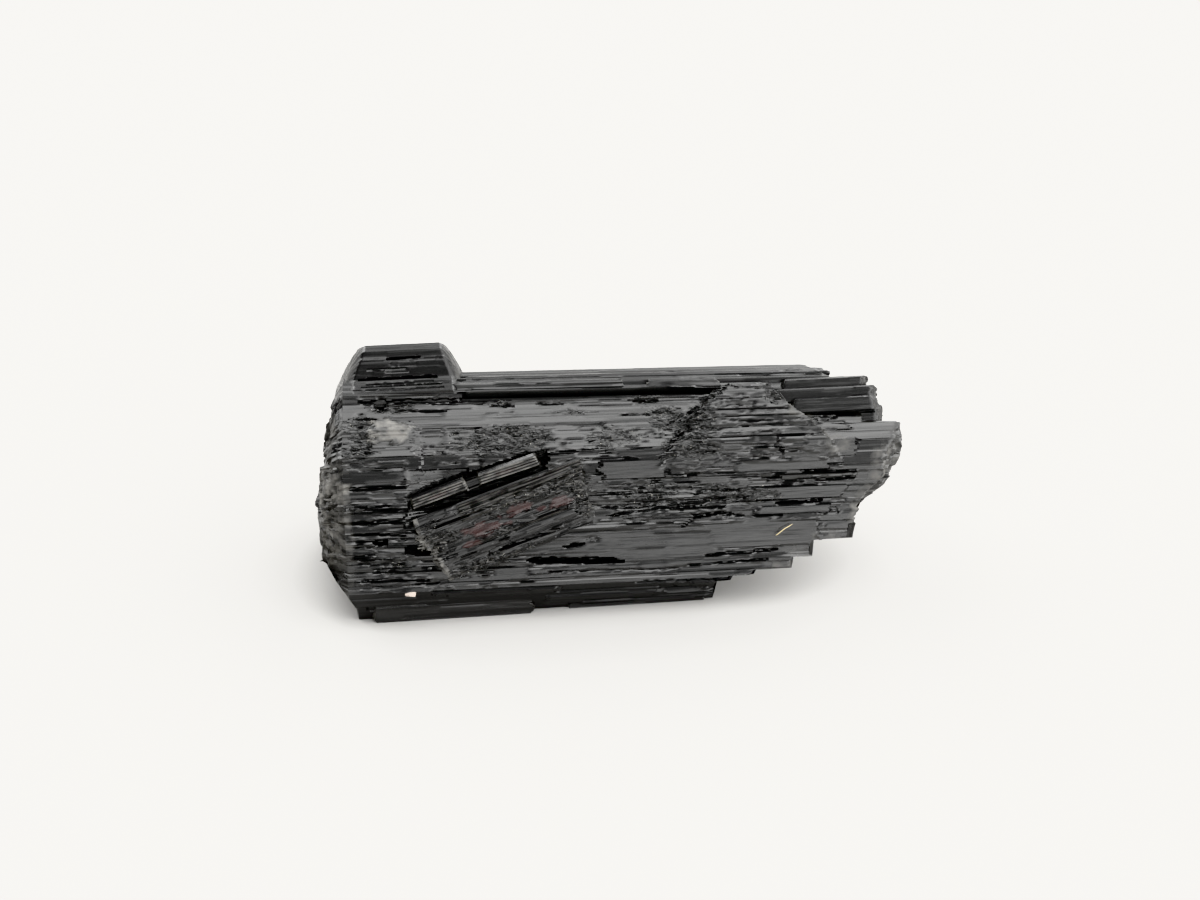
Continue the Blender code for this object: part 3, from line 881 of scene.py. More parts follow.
    def drawn(self, x: Array, y: Array, z: Array, uneven: Array) -> Array:
        """Draws the right end in to where the break leaves it, column by column.

        Args:
            x: The points' x.
            y: Their y.
            z: Their z.
            uneven: How uneven the break is at each, 0 to 1.

        Returns:
            The new x.
        """
        lift, front = y * LEAN[1] + z * LEAN[2], y * FRONT[1] + z * FRONT[2]
        coarse = Cells.over(lift / 1.0, front / 1.1, self.seed + 20)
        fine = Cells.over(lift / 0.4, front / 0.45, self.seed + 25)
        level = lift + 0.3 * (coarse.share - 0.5)
        depth = self.underside.face_front + self.underside.face_slope * lift - front
        depth = depth + 0.3 * (coarse.share - 0.5)
        reach = ramp(level, self.shell)
        reach = np.where(depth < self.shell_depth, reach, np.minimum(reach - 0.3, self.core))
        step = 0.2 * coarse.slope + 0.15 * (coarse.share - 0.5)
        reach = reach + uneven * (step + 0.2 * (fine.share - 0.5) + 0.25 * fine.tilt_y * fine.dy)
        bevel = ramp(lift, self.right_bevel, left=0.0, right=0.3)
        reach = reach - bevel * np.clip(1 - (depth - 0.2) / 1.5, 0, 1)
        reach = np.minimum(reach, self.side_end + 0.1)
        share = (reach - self.drawn_in) / (self.side_end - self.drawn_in)
        return np.where(x > self.drawn_in, self.drawn_in + (x - self.drawn_in) * share, x)

    def chips(self, x: Array, way: Array) -> Array:
        """Chips the rim of a broken end into tilted facets.

        Args:
            x: The points' x.
            way: How far round the prism they are.

        Returns:
            How far each stands out.
        """
        x, way = np.broadcast_arrays(x, way)
        coarse = Cells.over(x / 1.3, way / 1.1, self.seed + 80)
        fine = Cells.over(x / 0.5, way / 0.45, self.seed + 85)
        out = 0.4 * (coarse.share - 0.6) + 0.3 * coarse.slope
        return out + 0.1 * (fine.share - 0.5) + 0.08 * fine.tilt_y * fine.dy

    def cut_back(self, x: Array, y: Array, z: Array) -> tuple[Array, ...]:
        """Breaks the right end off in steps and bevels the left one.

        Args:
            x: The points' x.
            y: Their y.
            z: Their z.

        Returns:
            The new x, y and z, and how worn each point is.
        """
        lift, front = y * LEAN[1] + z * LEAN[2], y * FRONT[1] + z * FRONT[2]
        rough = 0.25 * (value_noise(front / 0.7, x / 0.5, 9) - 0.5)
        low = np.where(x < self.bevel[-1][0], ramp(x, self.bevel) + rough, -FAR)
        lane = np.floor(front / self.lane)
        shift = (hashed(lane, lane * 0, self.seed + 3) - 0.5) * self.lane
        high = np.full(x.shape, FAR)
        for start, top in self.break_above:
            high = np.where(x + shift > start, top, high)
        new = np.clip(lift, low, np.maximum(high, low))
        y, z = y + (new - lift) * LEAN[1], z + (new - lift) * LEAN[2]
        points, over = self.underside.trimmed(np.stack([x, y, z], axis=-1))
        tilted = self.dome_tilt * np.maximum(0, new - 7) * np.maximum(0, self.dome_x[0][1] - x)
        near = np.clip(1.0 - over / 1.1, 0, 1) * (x > 15.0) * 0.6
        patchy = np.clip(value_noise(x / 0.7, new / 0.5, 12) * 1.6 - 0.3, 0, 1)
        return x + tilted, points[..., 1], np.maximum(points[..., 2], 0.0), near * patchy


@dataclass
class FaceRelief(Relief):
    """The relief of the whole prism: strips, slabs, slots, the sheet and crumbling."""

    taper: Taper = Taper()
    layers: tuple[tuple[int, Row, Pair, Pair, Pair], ...] = (  # count, zone, heights, lengths, widths
        (90, (-25, 25, 0.0, 10.0), (0.04, 0.16), (5.0, 20.0), (0.35, 1.6)),
        (90, (-25, 25, 0.0, 10.0), (-0.15, -0.04), (3.0, 14.0), (0.2, 0.8)),
        (120, (-25, 25, 6.0, 9.9), (-0.22, 0.25), (5.0, 18.0), (0.4, 1.6)),
        (60, (-24, -17, 1.0, 2.2), (-0.12, 0.1), (1.2, 5.0), (0.15, 0.5)),
        (110, (-8, 22, 1.35, 2.3), (-0.1, 0.07), (0.8, 4.5), (0.12, 0.4)),
    )
    highest: float = 0.42  # that such layers reach together
    dashes: tuple[tuple[int, Row], ...] = (  # count, zone
        (130, (-1.0, 8.5, 1.36, 1.86)), (90, (-24.0, -16.5, 1.0, 1.7)), (150, (7.0, 24.0, 1.35, 2.0)),
        (110, (-17.0, 8.0, 1.9, 2.45)), (120, (-20.0, 20.0, 1.0, 1.36)),
    )
    dash: tuple[Pair, Pair, Pair] = ((-0.12, 0.1), (0.5, 2.6), (0.09, 0.26))  # height, length, width
    crown_bands: Rows = (  # zone and rise
        (-20.0, 9.8, 2.97, 3.18, 0.12), (-13.0, 11.0, 3.3, 4.1, -0.8),
        (-12.4, 6.5, 4.1, 4.36, 0.12), (-14.0, 9.0, 4.36, 4.6, -0.16),
        (-13.0, 20.0, 4.66, 5.1, 0.16), (-5.0, 22.0, 5.1, 5.5, 0.06),
    )
    crown_slots: Rows = (  # x and place of a slot's start, of its end, width, depth
        (-19.4, 3.14, -13.9, 2.99, 0.2, 0.3), (-19.5, 2.88, -14.7, 2.84, 0.16, 0.25),
        (-6.2, 2.93, -3.7, 2.92, 0.3, 0.35), (1.5, 2.66, 4.3, 2.65, 0.14, 0.25),
        (2.6, 2.94, 5.1, 2.93, 0.34, 0.5), (-22.6, 3.3, -8.5, 3.25, 0.35, 0.45),
        (-10.6, 2.93, -8.3, 2.9, 0.26, 0.3),
    )
    left_slots: Rows = (  # the same
        (-24.3, 1.77, -18.1, 1.77, 0.35, 0.3), (-24.8, 1.52, -18.3, 1.52, 0.35, 0.35),
        (-19.0, 1.30, -16.6, 1.29, 0.85, 0.8), (-21.7, 1.37, -20.6, 1.37, 0.65, 0.8),
        (-24.0, 1.63, -20.0, 1.64, 0.16, 0.2), (-23.6, 1.44, -19.4, 1.43, 0.14, 0.2),
        (-23.2, 1.22, -18.9, 1.2, 0.3, 0.25), (-22.8, 1.1, -17.0, 1.08, 0.16, 0.15),
        (-23.0, 1.9, -18.5, 1.92, 0.2, 0.2), (-22.0, 2.12, -17.2, 2.1, 0.18, 0.2),
        (-23.0, 2.75, -20.8, 2.72, 0.3, 0.35), (-17.2, 2.22, -11.0, 2.2, 0.14, 0.12),
    )
    strip: float = 1.1  # the width of the left end's dark strips
    main_slots: Rows = (  # the same as the other slots
        (-7.9, 1.19, 0.9, 1.16, 0.56, 0.8), (-4.5, 1.28, -2.6, 1.3, 0.3, 0.4),
        (8.8, 1.17, 15.3, 1.19, 0.22, 0.3), (7.0, 1.1, 14.5, 1.12, 0.14, 0.2),
        (-0.1, 1.56, 10.6, 1.53, 0.3, 0.28), (-0.1, 1.5, 7.4, 1.57, 0.24, 0.25),
        (6.6, 1.39, 7.7, 1.46, 0.16, 0.2), (7.7, 1.46, 10.3, 1.49, 0.3, 0.3),
        (10.3, 1.49, 12.3, 1.45, 0.16, 0.2), (13.2, 1.45, 15.9, 1.45, 0.14, 0.2),
        (15.4, 1.54, 20.5, 1.55, 0.34, 0.35), (17.8, 1.77, 24.3, 1.76, 0.3, 0.3),
        (15.8, 1.69, 24.3, 1.71, 0.26, 0.26), (-6.0, 1.1, 6.0, 1.08, 0.12, 0.1),
        (2.0, 0.93, 13.0, 0.9, 0.4, 0.2), (0.0, 1.92, 5.2, 1.93, 0.2, 0.25),
        (8.0, 1.66, 14.0, 1.64, 0.16, 0.2), (11.0, 1.74, 16.0, 1.73, 0.14, 0.18),
    )
    right_slabs: Rows = (  # zone and rise
        (11.6, 20.6, 1.79, 1.88, 0.24), (12.4, 24.0, 1.57, 1.66, 0.12),
        (16.0, 24.2, 1.88, 2.05, 0.15), (9.0, 19.5, 1.22, 1.4, 0.02), (13.6, 22.0, 1.46, 1.52, 0.2),
    )
    sheet_left: Knots = (  # (place, x) of the sheet's edge
        (1.83, 3.7), (1.93, 5.2), (2.3, 6.8), (2.68, 8.0), (2.91, 9.6), (3.69, 10.9), (4.24, 11.8),
    )
    sheet_right: Knots = (
        (1.83, 23.0), (2.19, 20.2), (2.63, 17.3), (2.99, 15.7), (3.87, 12.9), (4.24, 11.9),
    )
    sheet_rise: Knots = (  # (place, how far it stands out)
        (1.83, 0.16), (2.0, 0.42), (3.0, 2.3), (3.15, 2.1), (3.99, 1.5), (4.24, 1.1),
    )
    sheet_cuts: Rows = (  # place, x start and end, width, depth
        (2.9, 10.0, 15.4, 0.12, 0.14), (2.7, 9.5, 16.5, 0.1, 0.12), (2.52, 8.8, 17.0, 0.14, 0.16),
        (2.4, 9.4, 17.8, 0.1, 0.12), (2.25, 8.4, 18.8, 0.12, 0.16), (2.08, 8.0, 19.0, 0.12, 0.14),
        (3.3, 11.2, 13.8, 0.1, 0.12), (2.62, 11.0, 14.0, 0.2, 0.12), (2.34, 12.0, 19.0, 0.12, 0.1),
    )
    crumbled: tuple[tuple[float, float, Pair, float, int], ...] = (  # x, place, reach, weight, seed
        (-11.0, 2.2, (6.5, 2.6), 0.8, 61), (-7.0, 2.25, (3.0, 1.6), 1.0, 62),
        (-2.8, 1.8, (2.2, 2.6), 0.9, 63), (7.4, 2.25, (2.9, 4.2), 1.0, 64),
        (3.6, 1.62, (5.4, 2.6), 0.5, 65), (9.8, 1.6, (3.6, 2.0), 0.4, 66),
        (-22.6, 2.45, (2.0, 3.6), 0.8, 67), (-19.0, 2.9, (3.4, 1.0), 0.7, 68),
        (-1.9, 1.33, (1.3, 1.0), 0.6, 69), (-9.6, 2.98, (1.4, 0.8), 0.7, 70),
        (-3.0, 2.75, (3.4, 0.7), 0.5, 71), (13.0, 1.62, (3.2, 1.3), 0.6, 72),
        (0.5, 2.2, (4.2, 1.6), 0.7, 73), (16.0, 2.75, (1.6, 1.4), 0.5, 74),
        (3.8, 2.98, (2.0, 0.7), 0.6, 75), (5.8, 2.6, (2.8, 2.6), 0.8, 81),
        (8.2, 2.0, (2.6, 2.0), 0.9, 82), (-20.0, 1.2, (3.0, 1.2), 0.35, 76),
        (-5.0, 6.8, (12.0, 2.2), 0.6, 77), (10.0, 7.6, (7.0, 2.6), 0.6, 78),
        (-14.0, 8.2, (7.0, 2.4), 0.7, 79),
    )

    def s_at(self, place: float) -> float:
        """Returns the way round at a place."""
        return self.taper.way(place)

    def dress(self) -> None:
        """Lays down all of the prism's relief, the broad forms first."""
        self.striate((0.25, 1.5), 0.075, 0.07, 3)
        self.scatter_slabs()
        self.shoulder()
        self.crown()
        self.left_end()
        self.main_face()
        self.right_end()
        self.sheet()
        self.crumbling()
        self.recess()
        self.comb(0.016, 2.4)

    def zone(self, x0: float, x1: float, p0: float, p1: float) -> Row:
        """Returns a patch of x and places as a patch of x and ways round."""
        return x0, x1, self.s_at(p0), self.s_at(p1)

    def cut(self, slots: Rows) -> None:
        """Cuts furrows between (x, place) points."""
        for x0, p0, x1, p1, width, depth in slots:
            self.groove((x0, self.s_at(p0)), (x1, self.s_at(p1)), width, depth)

    def scatter_slabs(self) -> None:
        """Scatters layers and troughs over the whole prism, then short dashes."""
        for count, zone, *sizes in self.layers:
            self.slabs(count, self.zone(*zone), *sizes)
        self.height = np.clip(self.height, -self.highest, self.highest)
        for count, zone in self.dashes:
            self.slabs(count, self.zone(*zone), *self.dash, 0.2)

    def shoulder(self) -> None:
        """Wears the corner between the main face and the pale band above it."""
        ridge, top, foot = self.s_at(2.0), self.s_at(2.47), self.s_at(1.8)
        worn = np.interp(self.s, (foot, ridge, top), (0.0, 0.5, 0.0))
        self.height -= worn[None, :]
        level = (self.s > self.s_at(2.5)) & (self.s < self.s_at(2.97))
        self.height[:, level] *= 0.3
        self.slabs(14, self.zone(-18, 10, 2.5, 2.95), (-0.05, 0.05), (4.0, 14.0), (0.2, 0.7))

    def crown(self) -> None:
        """Steps the crown's narrow bands."""
        for *zone, rise in self.crown_bands:
            inside = self.patch(*self.zone(*zone), 0.8)
            self.height = np.where(inside, self.height * 0.4 + rise, self.height)
        self.cut(self.crown_slots)

    def left_end(self) -> None:
        """Wears the left end: a pale matte patch, a dent, short slots and dark strips."""
        patch = self.blotches(-19.9, self.s_at(2.47), (2.4, 1.7), 31, 0.8, 0.12)
        self.height += 0.16 * patch
        self.whiten(patch)
        dent = self.blotches(-20.6, self.s_at(2.97), (0.95, 0.95), 37, 0.6, 0.5)
        self.height -= 0.8 * dent
        self.cut(self.left_slots)
        low, high = self.s_at(1.0), self.s_at(1.84)
        across = (self.s - low) % self.strip - self.strip / 2
        turned = value_noise(self.x[:, None] / 2.6, self.s[None, :] / self.strip, 71) > 0.42
        self.height -= 0.17 * across * (self.patch(-FAR, -16.5, low, high, 0.5) & turned)
        self.height += 0.14 * self.patch(*self.zone(-FAR, -17.7, 2.01, 2.66), 0.3)
        self.height -= 0.16 * self.patch(*self.zone(-17.2, -11.8, 1.88, 2.5), 0.35)

    def main_face(self) -> None:
        """Evens the lower half of the main face, and cuts its slots."""
        low, high = self.s_at(1.04), self.s_at(1.44)
        calm = np.interp(self.s, (low - 0.3, low + 0.3, high - 0.8, high + 0.2), (0, 1, 1, 0))
        along = np.interp(self.x, (-9.0, -3.0, 15.0, 19.0), (0, 1, 1, 0.2))
        weight = 0.78 * along[:, None] * calm[None, :]
        self.height *= 1 - weight
        tilt = (self.s - self.s_at(1.22)) * 0.012
        self.height += weight * tilt[None, :]
        self.cut(self.main_slots)
        smooth = self.patch(*self.zone(-0.8, 5.1, 1.77, 1.9), 0.4)
        self.height = np.where(smooth, 0.22, self.height)

    def right_end(self) -> None:
        """Lays the broad, even slabs of the right end."""
        for *zone, rise in self.right_slabs:
            inside = self.patch(*self.zone(*zone), 0.5)
            self.height = np.where(inside, rise, self.height)
        self.whiten(0.45 * self.blotches(18.6, self.s_at(2.55), (1.9, 1.6), 43, 0.8, 0.3))
        self.whiten(0.4 * self.blotches(21.8, self.s_at(1.98), (2.2, 1.3), 44, 0.8, 0.4))

    def sheet(self) -> None:
        """Raises the three-cornered sheet over the right shoulder."""
        left, right, rises = (
            [(self.s_at(place), value) for place, value in knots]
            for knots in (self.sheet_left, self.sheet_right, self.sheet_rise)
        )
        inside = self.between(left, right, 0.35)
        start, end, rise = (ramp(self.s, knots)[None, :] for knots in (left, right, rises))
        x = self.x[:, None]
        rough = value_noise(x / 0.45 + 0 * self.s, self.s[None, :] / 0.25 + 0 * x, 51) - 0.5
        slope = np.clip((x - start) / (0.5 + 0.75 * rise) + 0.5 * rough, 0, 1)
        slope = np.round(slope * 5) / 5
        drop = np.clip((end - x) / (0.15 + 0.18 * rise), 0, 1)
        body = rise * np.minimum(slope, drop) + 0.35 * self.height
        self.height = np.where(inside & (slope > 0), np.maximum(body, self.height), self.height)
        on_sheet = inside & (slope > 0.5)
        for place, x0, x1, width, depth in self.sheet_cuts:
            away = np.abs(self.s - self.s_at(place))[None, :]
            cut = (away < width / 2) & (x > x0) & (x < x1)
            self.height -= np.where(cut & on_sheet, depth, 0.0)
        self.slabs(260, self.zone(8.0, 22.0, 1.86, 3.3), (-0.1, 0.08), (0.4, 2.6), (0.1, 0.26), 0.2)
        above = self.s > self.s_at(1.9)
        edge = np.clip(1 - np.abs(end - x) / 0.55, 0, 1) * above * (self.s < self.s_at(3.6))
        self.whiten(0.6 * edge)
        ragged = np.clip(1 - np.abs(x - start - 0.4) / 1.1, 0, 1) * above * (self.s < self.s_at(3.9))
        self.loosen(0.8 * ragged)

    def crumbling(self) -> None:
        """Crumbles the surface in blots, and marks where loose chips lie."""
        for x, place, reach, weight, seed in self.crumbled:
            self.loosen(weight * self.blotches(x, self.s_at(place), reach, seed, 1.1, 0.5))
        self.crumble(self.crumb, (0.9, 0.3), 0.26, 81)
        self.crumble(np.clip(self.crumb * 1.5 - 0.3, 0, 1), (0.42, 0.2), 0.12, 91)

    def recess(self) -> None:
        """Sinks the bed that the lodged crystals lie in."""
        foot = self.s_at(1.0)
        up = self.s - foot
        line = np.interp(self.x, (-18.7, -6.2), (8.0, 11.9))
        start = np.interp(up, (6.0, 9.9), (-18.9, -18.3))[None, :] + self.jitter(0.2, 0.2)[None, :]
        end = np.interp(up, (7.4, 12.6), (-6.6, -5.4))[None, :] + self.jitter(0.2, 0.3)[None, :]
        away = up[None, :] - line[:, None]
        x = self.x[:, None]
        inside = (away > -2.1) & (away < 1.0) & (x > start) & (x < end)
        upper = (up[None, :] > 8.4) & (up[None, :] < 11.2) & (x > -18.5) & (x < -13.0)
        bed = np.interp(away, (-2.1, -0.9, 0.6, 1.0), (-1.6, -1.6, -0.9, -0.1))
        bed = np.where(inside, bed, -0.75) * np.interp(self.x, (-18.9, -15.5), (0.12, 1.0))[:, None]
        self.height = np.where(inside | upper, bed + 0.3 * self.height, self.height)
        self.crumb = np.where(inside | upper, 0.1, self.crumb)


# ---- finishes


class Pattern(Enum):
    """What a finish's pattern follows."""

    SURFACE = "surface"  # the piece's own shares along it and round it
    SPACE = "space"  # the place in the crystal


class NodeSketch:
    """Short calls to draw a node tree."""

    def __init__(self, tree: bpy.types.NodeTree) -> None:
        """Starts on a tree."""
        self.tree = tree

    def add(self, kind: str, sockets: dict | None = None, **settings: object) -> bpy.types.Node:
        """Adds a node.

        Args:
            kind: The node's type.
            sockets: Input names or numbers, each with a value or an output to link.
            settings: Values for the node's own settings.

        Returns:
            The node.
        """
        node = self.tree.nodes.new(kind)
        for name, value in settings.items():
            setattr(node, name, value)
        for name, value in (sockets or {}).items():
            if isinstance(value, bpy.types.NodeSocket):
                self.tree.links.new(value, node.inputs[name])
            else:
                node.inputs[name].default_value = value
        return node

    def math(self, operation: str, a: object, b: object = 0.0, clamp: bool = False) -> Output:
        """Returns the output of a sum or product of two values or outputs."""
        return self.add("ShaderNodeMath", {0: a, 1: b}, operation=operation, use_clamp=clamp).outputs[0]

    def blend(self, share: object, a: object, b: object) -> Output:
        """Returns a colour mixed from a to b by share."""
        return self.add("ShaderNodeMix", {0: share, 6: a, 7: b}, data_type="RGBA").outputs[2]

    def mixed(self, share: object, a: object, b: object) -> Output:
        """Returns a value mixed from a to b by share."""
        return self.add("ShaderNodeMix", {0: share, 2: a, 3: b}, data_type="FLOAT").outputs[0]

    def between(self, value: object, low: float, high: float,
                start: float = 0.0, end: float = 1.0) -> Output:
        """Returns a value that goes from low to high between start and end."""
        return self.add("ShaderNodeMapRange", {0: value, 1: start, 2: end, 3: low, 4: high}).outputs[0]

    def ease(self, value: object, start: float, end: float, low: float = 0.0, high: float = 1.0) -> Output:
        """Returns a value that goes smoothly from low to high between start and end."""
        sockets = {0: value, 1: start, 2: end, 3: low, 4: high}
        return self.add("ShaderNodeMapRange", sockets, interpolation_type="SMOOTHSTEP").outputs[0]

    def scaled(self, vector: object, scale: object) -> Output:
        """Returns a vector times a number."""
        return self.add("ShaderNodeVectorMath", {0: vector, "Scale": scale}, operation="SCALE").outputs[0]

    def link(self, output: Output, node: bpy.types.Node, name: str) -> None:
        """Links an output to a node's input."""
        self.tree.links.new(output, node.inputs[name])


def started(name: str, ior: float) -> tuple[Material, NodeSketch, bpy.types.Node]:
    """Starts a material.

    Args:
        name: Its name.
        ior: Its index of refraction.

    Returns:
        The material, its tree and its shader.
    """
    material = bpy.data.materials.new(name)
    material.use_nodes = True
    shader = material.node_tree.nodes["Principled BSDF"]
    shader.inputs["IOR"].default_value = ior
    return material, NodeSketch(material.node_tree), shader


@dataclass(frozen=True)
class StoneFinish:
    """Black tourmaline: glossy along its striations, pale where it is bruised and where highlights are
    painted.
    """

    name: str
    pattern: Pattern = Pattern.SURFACE
    dark: Triple = (0.0045, 0.0045, 0.0046)
    # pale: the colour of bruised stone, and of painted highlights and glints
    pale: Triple = (0.15, 0.145, 0.135)
    brown: Triple = (0.037, 0.0165, 0.0158)
    gloss: Pair = (0.16, 0.34)  # the least and most roughness
    crumb_roughness: float = 0.1
    pale_roughness: float = 0.45
    mirrored: Pair = (0.5, 0.06)  # how much it mirrors, polished and dull
    # Noises, as the cells to a mm along and round, and their detail.
    mottle: Triple = (0.9, 1.3, 5.0)
    drift: Triple = (0.12, 1.1, 3.0)
    hairlines: Triple = (0.22, 14.0, 2.0)
    furrows: Triple = (0.35, 3.6, 2.0)
    grit: Triple = (3.4, 9.0, 3.0)
    hairline_depth: float = 0.007  # mm
    furrow_depth: float = 0.016
    grit_depth: float = 0.03  # where crumbled
    ior: float = 1.62

    def vector(self, sketch: NodeSketch, along: float, around: float) -> Output:
        """Lays pattern coordinates over the surface.

        Args:
            sketch: The material's tree.
            along: How many cells a mm holds along the piece.
            around: And round it.

        Returns:
            The coordinates.
        """
        place = sketch.scaled(sketch.add("ShaderNodeTexCoord").outputs["Object"], 1 / MM)
        if self.pattern is Pattern.SURFACE:
            along_it, round_it = self.share(sketch, "along"), self.share(sketch, "around")
            surface = sketch.add("ShaderNodeCombineXYZ", {0: along_it, 1: round_it}).outputs[0]
            sockets = {0: self.share(sketch, "broken"), 4: surface, 5: place}
            place = sketch.add("ShaderNodeMix", sockets, data_type="VECTOR").outputs[1]
        scale = (along, around, around)
        return sketch.add("ShaderNodeVectorMath", {0: place, 1: scale}, operation="MULTIPLY").outputs[0]

    def noise(self, sketch: NodeSketch, cells: Triple) -> Output:
        """Returns noise with such cells."""
        sockets = {"Vector": self.vector(sketch, *cells[:2]), "Scale": 1.0, "Detail": cells[2]}
        return sketch.add("ShaderNodeTexNoise", sockets).outputs["Fac"]

    def share(self, sketch: NodeSketch, name: str) -> Output:
        """Returns one of the surface's shares."""
        return sketch.add("ShaderNodeAttribute", attribute_name=name).outputs["Fac"]

    def material(self) -> Material:
        """Builds the material.

        Returns:
            The material, with its whole node tree.
        """
        material, sketch, shader = started(self.name, self.ior)
        mottle, drift, hairlines, furrows, grit = (
            self.noise(sketch, cells)
            for cells in (self.mottle, self.drift, self.hairlines, self.furrows, self.grit)
        )
        frost_and_highlight, crumb = self.share(sketch, "frost_and_highlight"), self.share(sketch, "crumb")
        patchy = sketch.math("MULTIPLY", frost_and_highlight, sketch.between(mottle, 0.1, 1.0, 0.38, 0.6), clamp=True)
        # Pale grit where crumbled: broken stone, partly painted glints.
        worn = sketch.math("MULTIPLY", crumb, sketch.between(grit, 0.0, 0.4, 0.55, 0.75))
        lightened = sketch.math("MAXIMUM", patchy, worn)
        flats = sketch.between(mottle, 0.2, 1.3)
        brown = sketch.math("MULTIPLY", self.share(sketch, "brown"), flats, clamp=True)
        dark = sketch.blend(brown, (*self.dark, 1.0), (*self.brown, 1.0))
        sketch.link(sketch.blend(lightened, dark, (*self.pale, 1.0)), shader, "Base Color")
        rough = sketch.between(drift, *self.gloss)
        rough = sketch.math("ADD", rough, sketch.math("MULTIPLY", crumb, self.crumb_roughness))
        chalky = sketch.math("MULTIPLY", lightened, self.pale_roughness)
        sketch.link(sketch.math("ADD", rough, chalky, clamp=True), shader, "Roughness")
        # The dull share lowers the mirroring: the rods' own finish, and on the prism partly painted shade.
        sketch.link(sketch.between(self.share(sketch, "dull"), *self.mirrored), shader, "Specular IOR Level")
        hairlines = sketch.math("MULTIPLY", hairlines, self.hairline_depth)
        height = sketch.math("ADD", hairlines, sketch.math("MULTIPLY", furrows, self.furrow_depth))
        loose = sketch.math("MAXIMUM", crumb, sketch.math("MULTIPLY", frost_and_highlight, 0.7))
        gritty = sketch.math("MULTIPLY", sketch.math("MULTIPLY", grit, self.grit_depth), loose)
        bump = sketch.add("ShaderNodeBump", {"Height": sketch.math("ADD", height, gritty), "Distance": MM})
        sketch.link(bump.outputs[0], shader, "Normal")
        return material


@dataclass(frozen=True)
class PlainFinish:
    """A finish with a mottled colour and a fine bump, for small things and the floor."""

    name: str
    colour: Triple
    second: Triple
    roughness: float
    cells: float = 6.0  # to a mm
    bump: float = 0.01  # mm
    ior: float = 1.5

    def material(self) -> Material:
        """Builds the material.

        Returns:
            The material, with its whole node tree.
        """
        material, sketch, shader = started(self.name, self.ior)
        shader.inputs["Roughness"].default_value = self.roughness
        place = sketch.add("ShaderNodeTexCoord").outputs["Object"]
        noise = sketch.add("ShaderNodeTexNoise", {"Vector": place, "Scale": self.cells / MM, "Detail": 3.0})
        colour = sketch.blend(noise.outputs["Fac"], (*self.colour, 1.0), (*self.second, 1.0))
        sketch.link(colour, shader, "Base Color")
        height = sketch.math("MULTIPLY", noise.outputs["Fac"], self.bump)
        bump = sketch.add("ShaderNodeBump", {"Height": height, "Distance": MM})
        sketch.link(bump.outputs[0], shader, "Normal")
        return material


# ---- scattered fragments


